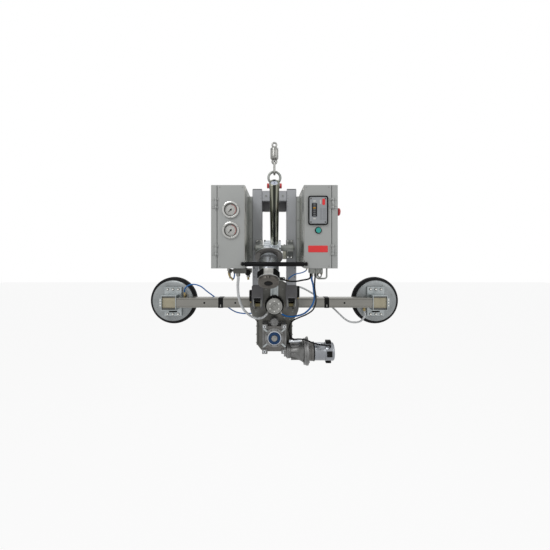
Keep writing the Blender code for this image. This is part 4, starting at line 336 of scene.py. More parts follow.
RED_PLATE = Finish("red_plate_look", (0.72, 0.02, 0.022), (0.66, 0.016, 0.018), 0.38, 0.0, 0.4, 10.0, 600.0, 0.05,
    coat=0.2)
GREEN_CAP = Finish("green_cap_look", (0.01, 0.34, 0.29), (0.008, 0.28, 0.24), 0.3, 0.0, 0.4, 30.0, 600.0, 0.04,
    coat=0.3)
NAVY_RING = Finish("navy_ring_look", (0.01, 0.045, 0.125), (0.007, 0.032, 0.09), 0.38, 0.0, 0.5, 24.0, 600.0, 0.08,
    specular=0.25)
BEIGE_PLASTIC = Finish("beige_plastic_look", (0.56, 0.55, 0.46), (0.48, 0.47, 0.39), 0.45, 0.0, 0.4, 24.0, 700.0,
    0.08)
BLUE_HOSE = Finish("blue_hose_look", (0.004, 0.15, 0.47), (0.003, 0.115, 0.38), 0.28, 0.0, 0.5, 14.0, 700.0, 0.04,
    coat=0.15, specular=0.3)
CLEAR_HOSE = Finish("clear_hose_look", (0.7, 0.72, 0.73), (0.58, 0.6, 0.61), 0.25, 0.0, 0.6, 18.0, 500.0, 0.05,
    coat=0.3, transmission=0.1)
DIAL_WHITE = Finish("dial_white_look", (0.53, 0.53, 0.505), (0.45, 0.45, 0.43), 0.45, 0.0, 0.4, 60.0, 900.0, 0.03)
DIAL_RED = Finish("dial_red_look", (0.55, 0.03, 0.03), (0.45, 0.02, 0.02), 0.45, 0.0, 0.3, 60.0, 900.0, 0.03)
PRINT_GREY = Finish("print_grey_look", (0.13, 0.135, 0.14), (0.1, 0.1, 0.105), 0.5, 0.0, 0.3, 60.0, 900.0, 0.03)
PANEL_FACE = Finish("panel_face_look", (0.3, 0.315, 0.33), (0.26, 0.27, 0.285), 0.4, 0.0, 0.4, 24.0, 900.0, 0.05)
DISPLAY = Finish("display_look", (0.01, 0.011, 0.013), (0.016, 0.017, 0.02), 0.2, 0.0, 0.4, 30.0, 900.0, 0.02,
    specular=0.25)
LAMP_AMBER = Finish("lamp_amber_look", (0.62, 0.3, 0.02), (0.5, 0.22, 0.01), 0.3, 0.0, 0.3, 60.0, 900.0, 0.02)
BATTERY_BLACK = Finish("battery_case_look", (0.045, 0.05, 0.062), (0.06, 0.066, 0.08), 0.55, 0.0, 0.5, 12.0, 700.0,
    0.15)


# Mesh tools


def facing_front(x: float, y: float, z: float) -> Matrix:
    """Return a place whose local X is +X, local Y is +Z and local Z looks at the operator."""
    return Matrix(((1, 0, 0, x), (0, 0, -1, y), (0, 1, 0, z), (0, 0, 0, 1)))


def facing(centre: Sequence[float], direction: Sequence[float]) -> Matrix:
    """Return a place at centre whose local Z lies along direction."""
    turn = Vector(direction).to_track_quat("Z", "Y").to_matrix().to_4x4()
    return Matrix.Translation(Vector(centre)) @ turn


def moved(place: Matrix, x: float, y: float, z: float) -> Matrix:
    """Return a place moved along its own axes."""
    return place @ Matrix.Translation((x, y, z))


def raised(place: Matrix, height: float) -> Matrix:
    """Return a place moved along its own Z."""
    return moved(place, 0, 0, height)


def side_word(sign: int) -> str:
    """Return the word for a side, -1 is the left."""
    return "left" if sign < 0 else "right"


def turned(place: Matrix, angle: float, axis: str = "Z") -> Matrix:
    """Return a place turned about one of its own axes, in degrees."""
    return place @ Matrix.Rotation(math.radians(angle), 4, axis)


def linked(name: str, data: bpy.types.ID) -> Piece:
    """Put an object that holds the data into the scene.

    Args:
        name: The object's name.
        data: Its mesh, curve, lamp or camera.

    Returns:
        The object.
    """
    made = bpy.data.objects.new(name, data)
    bpy.context.collection.objects.link(made)
    return made


def part_from(mesh: bmesh.types.BMesh, finish: Finish, round_angle: float = 40.0) -> Piece:
    """Turn a mesh in the row frame into a part with a finish.

    Args:
        mesh: The mesh, which is freed.
        finish: The finish it gets.
        round_angle: Edges flatter than this, in degrees, are shaded smooth.

    Returns:
        The new object, at the origin.
    """
    bmesh.ops.remove_doubles(mesh, verts=mesh.verts, dist=MERGE_DISTANCE)
    bmesh.ops.recalc_face_normals(mesh, faces=mesh.faces)
    data = bpy.data.meshes.new("part")
    mesh.to_mesh(data)
    mesh.free()
    data.shade_smooth()
    data.set_sharp_from_angle(angle=math.radians(round_angle))
    data.materials.append(finish.material())
    return linked("part", data)


def skin(mesh: bmesh.types.BMesh, rings: list, sides: int, closed: bool) -> None:
    """Join neighbouring rings of vertices by faces.

    Args:
        mesh: The mesh.
        rings: Rings of as many vertices as there are sides, or of one vertex on the axis.
        sides: Number of sides.
        closed: Whether the last ring joins the first.
    """
    pairs = list(zip(rings, rings[1:]))
    if closed:
        pairs.append((rings[-1], rings[0]))
    for first, second in pairs:
        for i in range(sides):
            j = (i + 1) % sides
            corners = [first[i % len(first)], first[j % len(first)], second[j % len(second)],
                second[i % len(second)]]
            corners = list(dict.fromkeys(corners))
            if len(corners) > 2:
                mesh.faces.new(corners)


def lathe(profile: Profile, place: Matrix, finish: Finish, sides: int = 72) -> Piece:
    """Turn (radius, height) points into a closed solid about the place's Z axis.

    Args:
        profile: Points from the top to the bottom of the outer side. A radius of 0 closes the solid on its axis,
            and otherwise the last point joins the first.
        place: Where the solid stands.
        finish: Its finish.
        sides: Number of sides.

    Returns:
        The solid.
    """
    mesh = bmesh.new()
    rings = []
    for radius, height in profile:
        ring = []
        for i in range(sides if radius else 1):
            angle = 2 * math.pi * i / sides
            ring.append(mesh.verts.new(place @ Vector((radius * math.cos(angle), radius * math.sin(angle), height))))
        rings.append(ring)
    skin(mesh, rings, sides, profile[0][0] > 0)
    return part_from(mesh, finish)


def box(x: Span, y: Span, z: Span, finish: Finish, bevel: float = 0.001, place: Matrix = ROW_FRAME) -> Piece:
    """Make a box between limits, with rounded edges.

    Args:
        x: Limits along X.
        y: Limits along Y.
        z: Limits along Z.
        finish: Its finish.
        bevel: Radius of the edges.
        place: A place that the limits are counted in.

    Returns:
        The box.
    """
    mesh = bmesh.new()
    bmesh.ops.create_cube(mesh, size=1.0)
    bmesh.ops.scale(mesh, vec=(abs(x[1] - x[0]), abs(y[1] - y[0]), abs(z[1] - z[0])), verts=mesh.verts)
    bmesh.ops.translate(mesh, vec=(sum(x) / 2, sum(y) / 2, sum(z) / 2), verts=mesh.verts)
    bmesh.ops.bevel(mesh, geom=mesh.edges[:], offset=bevel, segments=2, profile=0.7, affect="EDGES")
    bmesh.ops.transform(mesh, matrix=place, verts=mesh.verts)
    return part_from(mesh, finish)


def arc(centre: Pair, radius: float, start: float, end: float, count: int) -> Outline:
    """Return points on an arc, both ends included.

    Args:
        centre: The arc's centre.
        radius: Its radius.
        start: Angle of the first point, in degrees.
        end: Angle of the last point, in degrees.
        count: Number of steps.

    Returns:
        The points.
    """
    points = []
    for i in range(count + 1):
        angle = math.radians(start + (end - start) * i / count)
        points.append((centre[0] + radius * math.cos(angle), centre[1] + radius * math.sin(angle)))
    return points


def ring_outline(centre: Pair, radius: float, steps: int = 48) -> Outline:
    """Return a full circle as an outline."""
    return arc(centre, radius, 0, 360, steps)[:-1]


def rounded(centre: Pair, width: float, height: float, radius: float, steps: int = 5) -> Outline:
    """Return a rectangle with round corners.

    Args:
        centre: Its middle.
        width: Size along the first axis.
        height: Size along the second axis.
        radius: Corner radius.
        steps: Steps in a corner.

    Returns:
        The closed outline.
    """
    outline = []
    for sx, sy, start in ((1, 1, 0), (-1, 1, 90), (-1, -1, 180), (1, -1, 270)):
        corner = (centre[0] + sx * (width / 2 - radius), centre[1] + sy * (height / 2 - radius))
        outline += arc(corner, radius, start, start + 90, steps)
    return outline


def disc_profile(radius: float, top: float, bottom: float, edge: float = 0.001) -> Outline:
    """Return the profile of a solid disc with rounded edges."""
    return [(0, top), (radius - edge, top), (radius - 0.3 * edge, top - 0.3 * edge), (radius, top - edge),
        (radius, bottom + edge), (radius - 0.3 * edge, bottom + 0.3 * edge), (radius - edge, bottom), (0, bottom)]


def plate(outlines: Sequence[Outline], thickness: float, place: Matrix, finish: Finish, bevel: float = 0.0) -> Piece:
    """Make a flat plate from closed outlines, the first one outside and the others holes.

    Args:
        outlines: Outlines in the place's XY plane.
        thickness: The plate's thickness, half of it on either side of the plane.
        place: Where it stands.
        finish: Its finish.
        bevel: Radius of the outline's edges.

    Returns:
        The plate.
    """
    curve = bpy.data.curves.new("outline", "CURVE")
    curve.dimensions = "2D"
    curve.fill_mode = "BOTH"
    curve.extrude = thickness / 2 - bevel
    curve.bevel_depth = bevel
    curve.bevel_resolution = 1
    curve.offset = -bevel
    for outline in outlines:
        spline = curve.splines.new("POLY")
        spline.points.add(len(outline) - 1)
        for point, (u, v) in zip(spline.points, outline):
            point.co = (u, v, 0.0, 1.0)
        spline.use_cyclic_u = True
    guide = linked("outline", curve)
    data = bpy.data.meshes.new_from_object(guide.evaluated_get(bpy.context.evaluated_depsgraph_get()))
    bpy.data.objects.remove(guide, do_unlink=True)
    data.transform(place)
    mesh = bmesh.new()
    mesh.from_mesh(data)
    return part_from(mesh, finish, 30.0)


def hoop(radius: float, height: float, count: int) -> list[Point]:
    """Return points on an upright circle that faces the operator."""
    angles = [2 * math.pi * i / count for i in range(count)]
    return [(radius * math.cos(angle), 0.0, height + radius * math.sin(angle)) for angle in angles]


def smooth_route(points: Sequence[Point], steps: int = 6) -> list[Vector]:
    """Return points on a smooth curve through the given ones.

    Args:
        points: The route, in metres in the row frame.
        steps: Number of steps between two given points.

    Returns:
        The finer route.
    """
    knots = [Vector(point) for point in points]
    knots = [2 * knots[0] - knots[1]] + knots + [2 * knots[-1] - knots[-2]]
    fine = []
    for i in range(1, len(knots) - 2):
        before, start, end, after = knots[i - 1:i + 3]
        for step in range(steps):
            t = step / steps
            fine.append(
                0.5
                * (2 * start + (end - before) * t + (2 * before - 5 * start + 4 * end - after) * t * t
                    + ((3 * start - before - 3 * end + after) * t ** 3)))
    fine.append(knots[-2])
    return fine


def sweep(route: Sequence[Sequence[float]], radius: float, finish: Finish, sides: int = 14,
        closed: bool = False) -> Piece:
    """Sweep a round section along a route without twist.

    Args:
        route: The centre line.
        radius: Radius of the section.
        finish: Its finish.
        sides: Number of sides.
        closed: Whether the route is a loop.

    Returns:
        The bar or tube.
    """
    mesh = bmesh.new()
    points = [Vector(point) for point in route]
    count = len(points)
    side = None
    rings = []
    for i, point in enumerate(points):
        ahead = points[(i + 1) % count] if closed else points[min(i + 1, count - 1)]
        back = points[i - 1] if closed or i else points[0]
        along = (ahead - back).normalized()
        if side is None:
            side = along.orthogonal().normalized()
        side = (side - along * side.dot(along)).normalized()
        other = along.cross(side)
        ring = []
        for k in range(sides):
            angle = 2 * math.pi * k / sides
            ring.append(mesh.verts.new(point + radius * (math.cos(angle) * side + math.sin(angle) * other)))
        rings.append(ring)
    skin(mesh, rings, sides, closed)
    if not closed:
        mesh.faces.new(rings[0][::-1])
        mesh.faces.new(rings[-1])
    return part_from(mesh, finish, 60.0)


def join(name: str, parts: Iterable[Piece]) -> Piece:
    """Join parts into one piece, each keeping its material.

    Args:
        name: Name of the piece.
        parts: The parts, all at the origin.

    Returns:
        The piece.
    """
    mesh = bmesh.new()
    data = bpy.data.meshes.new(name)
    for part in parts:
        first = len(data.materials)
        for material in part.data.materials:
            data.materials.append(material)
        start = len(mesh.faces)
        mesh.from_mesh(part.data)
        mesh.faces.ensure_lookup_table()
        for face in mesh.faces[start:]:
            face.material_index += first
        bpy.data.objects.remove(part, do_unlink=True)
    mesh.to_mesh(data)
    mesh.free()
    return linked(name, data)


# Repeats


@dataclass(frozen=True)
class Repeat:
    """Small shapes set out on a circle or on a line by Geometry Nodes.

    The unit's size is (across, long, high): a prism takes its radius from across, and a bar takes its width from
    across and its length from long. Both stand high above the place's plane.
    """

    unit: Unit
    size: Point
    count: int
    radius: float = 0.0
    spacing: Point = (0.0, 0.0, 0.0)
    sides: int = 6
    first: float = 0.0

    def shape(self, tree: Tree, given: bpy.types.bpy_prop_collection) -> Socket:
        """Add the nodes of the repeated shape.

        Args:
            tree: The node tree.
            given: Outputs of the tree's input node.

        Returns:
            The geometry socket of the shape, which stands on the plane.
        """
        if self.unit is Unit.PRISM:
            shape = add_node(tree, "GeometryNodeMeshCylinder",
                {"Vertices": self.sides, "Radius": given["Across"], "Depth": given["High"]})
        else:
            size = add_node(tree, "ShaderNodeCombineXYZ",
                {"X": given["Long"], "Y": given["Across"], "Z": given["High"]})
            shape = add_node(tree, "GeometryNodeMeshCube", {"Size": size.outputs[0]})
        half = add_node(tree, "ShaderNodeMath", {0: given["High"], 1: 0.5}, operation="MULTIPLY")
        lift = add_node(tree, "ShaderNodeCombineXYZ", {"Z": half.outputs[0]})
        move = add_node(tree, "GeometryNodeTransform",
            {"Geometry": shape.outputs["Mesh"], "Translation": lift.outputs[0]})
        return move.outputs["Geometry"]

    def tree(self, finish: Finish) -> Tree:
        """Build the node tree.

        Args:
            finish: The finish that the shapes get.

        Returns:
            The tree, with an input for each size.
        """
        tree = bpy.data.node_groups.new("repeat", "GeometryNodeTree")
        for name, kind in (("Geometry", "Geometry"), ("Across", "Float"), ("Long", "Float"), ("High", "Float"),
                ("Radius", "Float"), ("Count", "Int"), ("Spacing", "Vector")):
            tree.interface.new_socket(name=name, in_out="INPUT", socket_type="NodeSocket" + kind)
        tree.interface.new_socket(name="Geometry", in_out="OUTPUT", socket_type="NodeSocketGeometry")
        given = add_node(tree, "NodeGroupInput", {}).outputs
        inputs = {"Instance": self.shape(tree, given)}
        if self.radius:
            points = add_node(tree, "GeometryNodeMeshCircle",
                {"Vertices": given["Count"], "Radius": given["Radius"]})
            index = add_node(tree, "GeometryNodeInputIndex", {})
            step = add_node(tree, "ShaderNodeMath", {0: 2 * math.pi, 1: given["Count"]}, operation="DIVIDE")
            turn = add_node(tree, "ShaderNodeMath", {0: index.outputs[0], 1: step.outputs[0]}, operation="MULTIPLY")
            inputs["Rotation"] = add_node(tree, "ShaderNodeCombineXYZ", {"Z": turn.outputs[0]}).outputs[0]
        else:
            points = add_node(tree, "GeometryNodeMeshLine", {"Count": given["Count"], "Offset": given["Spacing"]})
        inputs["Points"] = points.outputs["Mesh"]
        place = add_node(tree, "GeometryNodeInstanceOnPoints", inputs)
        real = add_node(tree, "GeometryNodeRealizeInstances", {"Geometry": place.outputs["Instances"]})
        dress = add_node(tree, "GeometryNodeSetMaterial",
            {"Geometry": real.outputs["Geometry"], "Material": finish.material()})
        add_node(tree, "NodeGroupOutput", {"Geometry": dress.outputs["Geometry"]})
        return tree

    def make(self, place: Matrix, finish: Finish) -> Piece:
        """Set the shapes out and keep them as a plain mesh.

        Args:
            place: Where the circle's centre or the line's middle is. The shapes stand along its Z.
            finish: Their finish.

        Returns:
            The part.
        """
        tree = self.tree(finish)
        values = {"Across": self.size[0], "Long": self.size[1], "High": self.size[2], "Radius": self.radius,
            "Count": self.count, "Spacing": self.spacing}
        carrier = linked("points", bpy.data.meshes.new("points"))
        modifier = carrier.modifiers.new("repeat", "NODES")
        modifier.node_group = tree
        for socket in tree.interface.items_tree:
            if socket.in_out == "INPUT" and socket.name in values:
                modifier[socket.identifier] = values[socket.name]
        data = bpy.data.meshes.new_from_object(carrier.evaluated_get(bpy.context.evaluated_depsgraph_get()))
        carrier.modifiers.remove(modifier)
        bpy.data.objects.remove(carrier, do_unlink=True)
        start = Matrix.Rotation(math.radians(self.first), 4, "Z")
        if not self.radius:
            start = Matrix.Translation(-0.5 * (self.count - 1) * Vector(self.spacing))
        data.transform(place @ start)
        return linked("part", data)


def bolts(count: int, radius: float, head: float, height: float, place: Matrix, finish: Finish = STEEL,
        sides: int = 6, first: float = 0.0) -> Piece:
    """Make a circle of bolt or screw heads.

    Args:
        count: Number of heads.
        radius: Radius of the circle.
        head: Radius of a head.
        height: Height of a head.
        place: Centre of the circle, with Z out of the surface.
        finish: Their finish.
        sides: Number of sides of a head.
        first: Angle of the first head, in degrees.

    Returns:
        The part.
    """
    return Repeat(Unit.PRISM, (head, head, height), count, radius, sides=sides, first=first).make(place, finish)


def bolt_row(count: int, spacing: Point, head: float, height: float, place: Matrix, finish: Finish = STEEL,
        sides: int = 6) -> Piece:
    """Make a straight row of bolt or screw heads.

    Args:
        count: Number of heads.
        spacing: Step from one head to the next, in the place's own axes.
        head: Radius of a head.
        height: Height of a head.
        place: Middle of the row, with Z out of the surface.
        finish: Their finish.
        sides: Number of sides of a head.

    Returns:
        The part.
    """
    return Repeat(Unit.PRISM, (head, head, height), count, spacing=spacing, sides=sides).make(place, finish)


def bolt(head: float, height: float, place: Matrix, finish: Finish = STEEL, sides: int = 6) -> Piece:
    """Make one bolt or screw head with its middle at the place."""
    return bolt_row(1, (0.0, 0.0, 0.0), head, height, place, finish, sides)


def disc(radius: float, top: float, bottom: float, edge: float, place: Matrix, finish: Finish, sides: int) -> Piece:
    """Make a solid disc with rounded edges between two heights of the place."""
    return lathe(disc_profile(radius, top, bottom, edge), place, finish, sides)


# Assemblies


@dataclass
class Assembly:
    """A sub-assembly whose pieces ride on one or more bodies."""

    made: list[Piece] = field(default_factory=list, init=False)

    def put(self, name: str, parts: Iterable[Piece], body: Body, slot: str, *stands_for: str) -> None:
        """Join parts into a piece and let it ride on a body.

        Args:
            name: The piece's name.
            parts: Its finished parts.
            body: The body that it rides on.
            slot: The material slot that it belongs to; not used.
            stands_for: CAD nodes that it replaces.
        """
        piece = join(name, parts)
        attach(piece, body.value)
        if stands_for:
            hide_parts(*stands_for)
        self.made.append(piece)

    def dress(self, finish: Finish, *nodes: str) -> None:
        """Give CAD nodes a finish of their own.

        Args:
            finish: The finish.
            nodes: Names of the nodes.
        """
        for name in nodes:
            node = frame["nodes"][name]
            node = bpy.data.objects[node] if isinstance(node, str) else node
            node.data.materials.clear()
            node.data.materials.append(finish.material())

    def report(self) -> None:
        """Log each piece with its triangle count."""
        for piece in self.made:
            piece.data.calc_loop_triangles()
            LOG.info("%s: %s, %d triangles", type(self).__name__, piece.name, len(piece.data.loop_triangles))


@dataclass
class HoistGear(Assembly):
    """Eye, swivel, link and bow shackle above the frame."""

    eye_radius: float = 0.012
    eye_wire: float = 0.005
    barrel_top: float = -0.018
    barrel_height: float = 0.066
    barrel_radius: float = 0.023
    ring_centre: float = -0.09475
    link_span: Pair = (-0.1528, -0.11045)
    link_radius: float = 0.014
    bow_crown: float = -0.1865
    bow_radius: float = 0.0335
    bow_wire: float = 0.007
    jaw: float = 0.0225
    pin_height: float = -0.233

    def eye(self) -> None:
        """Make the hoist eye and its stem."""
        ring = sweep(hoop(self.eye_radius, 0.0, 48), self.eye_wire, STEEL, 20, True)
        stem = disc(0.009, -self.eye_radius, -0.046, 0.0008, ROW_FRAME, STEEL, 48)
        self.put("hoist_eye_piece", [ring, stem], Body.HOIST, "chrome", "swivel_eye")

    def swivel(self) -> None:
        """Make the grooved barrel with the ring below it, and the link."""
        radius, height = self.barrel_radius, self.barrel_height
        profile = [(0.0095, -0.0283), (0.0095, 0.0), (radius - 0.005, 0.0), (radius - 0.002, -0.001),
            (radius, -0.004), (radius, -0.012), (radius - 0.0012, -0.0128), (radius - 0.0012, -0.015),
            (radius, -0.0158), (radius, 0.017 - height), (radius - 0.0012, 0.016 - height),
            (radius - 0.0012, 0.014 - height), (radius, 0.013 - height), (radius - 0.0006, 0.006 - height),
            (radius - 0.006, -height), (0, -height), (0, -0.0283)]
        barrel = lathe(profile, Matrix.Translation((0, 0, self.barrel_top)), STEEL, 72)
        ring = sweep(hoop(0.013, self.ring_centre, 40), 0.0045, STEEL, 16, True)
        self.put("swivel_barrel", [barrel, ring], Body.SWIVEL, "chrome", "swivel_body")
        low, high = self.link_span
        path = arc((0, high), self.link_radius, 0, 180, 20) + arc((0, low), self.link_radius, 180, 360, 20)
        link = sweep([(0.0, y, z) for y, z in path], 0.0065, STEEL, 18, True)
        self.put("oblong_link", [link], Body.SWIVEL, "steel", "lift_link")

    def shackle(self) -> None:
        """Make the galvanised bow with its eyes, and the red-headed pin."""
        path = [(self.jaw, self.pin_height), (self.jaw + 0.0006, self.pin_height + 0.01)]
        path += arc((0, self.bow_crown), self.bow_radius, -45, 225, 36)
        path += [(-self.jaw - 0.0006, self.pin_height + 0.01), (-self.jaw, self.pin_height)]
        parts = [sweep(smooth_route([(x, 0.0, z) for x, z in path], 2), self.bow_wire, ZINC, 20)]
        for sign in SIDES:
            place = facing((sign * self.jaw, 0, self.pin_height), (1, 0, 0))
            parts.append(lathe([(0.0103, 0.0075), (0.0155, 0.0075), (0.017, 0.005), (0.017, -0.005),
                (0.0155, -0.0075), (0.0103, -0.0075)], place, ZINC, 48))
        self.put("shackle_bow_piece", parts, Body.SHACKLE, "zinc", "shackle_bow")
        middle = facing((0, 0, self.pin_height), (1, 0, 0))
        bar = disc(0.01, 0.0423, -0.0423, 0.0015, middle, ZINC, 40)
        head = disc(0.015, 0.0418, 0.0305, 0.002, middle, RED_PAINT, 48)
        nut = bolt(0.015, 0.0113, facing((-0.0305, 0, self.pin_height), (-1, 0, 0)), RED_PAINT)
        self.put("shackle_pin_piece", [bar, head, nut], Body.SHACKLE, "steel", "shackle_pin")

    def build(self) -> None:
        """Make the hoist gear."""
        self.eye()
        self.swivel()
        self.shackle()


@dataclass
class Frame(Assembly):
    """Uprights, crossbars, trunnion brackets and hinge pins."""

    upright: Pair = (0.07, 0.125)
    top: float = -0.252
    bracket_x: float = 0.0855
    bracket_face: float = -0.0083
    hinge: Pair = (0.05, -0.915)

    def fasteners(self) -> None:
        """Set rivets on the uprights and crossbar, bolts ringed by painted shadow on the brackets and screws on the
        case strips.
        """
        parts = []
        for sign in SIDES:
            x = sign * (self.upright[0] + 0.007)
            for low in (-0.2955, -0.34):
                parts.append(bolt_row(2, (0, 0.016, 0), 0.0022, 0.0012, facing_front(x, 0, low), ZINC, 12))
            for z, head in ((-0.55, 0.0066), (-0.636, 0.005)):
                place = facing_front(sign * self.bracket_x, self.bracket_face, z)
                parts += [
                    # Dark rings under the bright bolts: painted shadow.
                    bolt_row(2, (0.02, 0, 0), head + 0.0022, 0.0012, place, DARK_STEEL, 24),
                    bolt_row(2, (0.02, 0, 0), head, 0.006, place, CHROME)]
            parts.append(bolt_row(4, (0, 0.105, 0), 0.0042, 0.003, facing_front(sign * 0.1345, 0.004, -0.48), ZINC))
            for level in (-0.7, -0.75, -0.8, -0.85):
                parts.append(
                    bolt(0.003, 0.0015, facing_front(sign * (self.upright[1] - 0.01), 0, level), DARK_STEEL, 12))
        parts += [
            bolt_row(2, (0.094, 0, 0), 0.0055, 0.004, facing_front(0, 0, -0.2895), ZINC),
            bolt_row(2, (0.094, 0, 0), 0.0055, 0.004, facing((0, 0.1, -0.338), (0, 1, 0)), ZINC)]
        self.put("frame_fasteners", parts, Body.CHASSIS, "steel")

    def fork_plates(self) -> None:
        """Face the lower ends of the uprights with dark fork plates, their paint partly painted shade, and fill each
        fork opening with a black block as painted shade.
        """
        parts = []
        for sign in SIDES:
            outline = [(0.0785, -0.868), (0.0785, -0.934), (0.0645, -0.934), (0.0645, -0.796), (0.1215, -0.796),
                (0.129, -0.804), (0.129, -0.934), (0.1165, -0.934), (0.1165, -0.868)]
            if sign < 0:
                outline = [(-x, z) for x, z in reversed(outline)]
            parts.append(plate([outline], 0.0022, facing_front(0, -0.0008, 0), FORK_PAINT_AND_SHADE, 0.0006))
            for z in (-0.812, -0.852):
                parts.append(
                    bolt_row(2, (0.034, 0, 0), 0.0034, 0.0022, facing_front(sign * 0.0975, -0.0018, z), DARK_STEEL))
            for x in (0.0758, 0.1192):
                parts.append(box((sign * (x - 0.0028), sign * (x + 0.0028)), (-0.0036, -0.0008), (-0.918, -0.879),
                    ZINC, 0.001))
            # Black block in the fork opening: painted shade.
            parts.append(box((sign * 0.079, sign * 0.116), (0.003, 0.03), (-0.89, -0.8715), BLACK_PLASTIC, 0.002))
        self.put("fork_plates", parts, Body.CHASSIS, "frame_paint")

    def caps(self) -> None:
        """Close the uprights' tops with plastic caps."""
        parts = []
        for sign in SIDES:
            x = (sign * (self.upright[0] + 0.001), sign * (self.upright[1] - 0.001))
            parts.append(box(x, (0.001, 0.099), (self.top - 0.0005, self.top + 0.0025), BLACK_PLASTIC, 0.001))
        self.put("upright_caps", parts, Body.CHASSIS, "black_plastic")

    def hinge_dress(self) -> None:
        """Put washers, brass pin ends and lock plates on the tilt hinges."""
        y, z = self.hinge
        parts = []
        for sign in SIDES:
            for x, radius, thick, finish in ((UPRIGHT_SIDE, 0.0185, 0.0022, DARK_STEEL),
                    (0.1275, 0.0125, 0.0038, PIN_METAL), (0.0697, 0.016, -0.0018, DARK_STEEL),
                    (0.0679, 0.0098, -0.0035, PIN_METAL)):
                height = abs(thick)
                way = sign * (1 if thick > 0 else -1)
                parts.append(disc(radius, height, 0.0, min(0.0006, height / 3), facing((sign * x, y, z), (way, 0, 0)),
                    finish, 40))
            parts.append(box((sign * UPRIGHT_SIDE, sign * 0.1275), (y - 0.034, y - 0.012), (z - 0.009, z + 0.009),
                DARK_STEEL, 0.0008))
        self.put("tilt_hinge_ends", parts, Body.CHASSIS, "steel")

    def build(self) -> None:
        """Dress the frame's nodes and add its fasteners."""
        self.dress(FRAME_PAINT, "upright_left", "upright_right", "lifting_crossbar")
        # Dark paint on the rear crossbar: painted shade.
        self.dress(FORK_PAINT_AND_SHADE, "rear_crossbar")
        self.dress(ZINC, "trunnion_bracket_left", "trunnion_bracket_right")
        self.dress(PIN_METAL, "tilt_pin_left", "tilt_pin_right")
        self.fasteners()
        self.caps()
        self.hinge_dress()
        self.fork_plates()


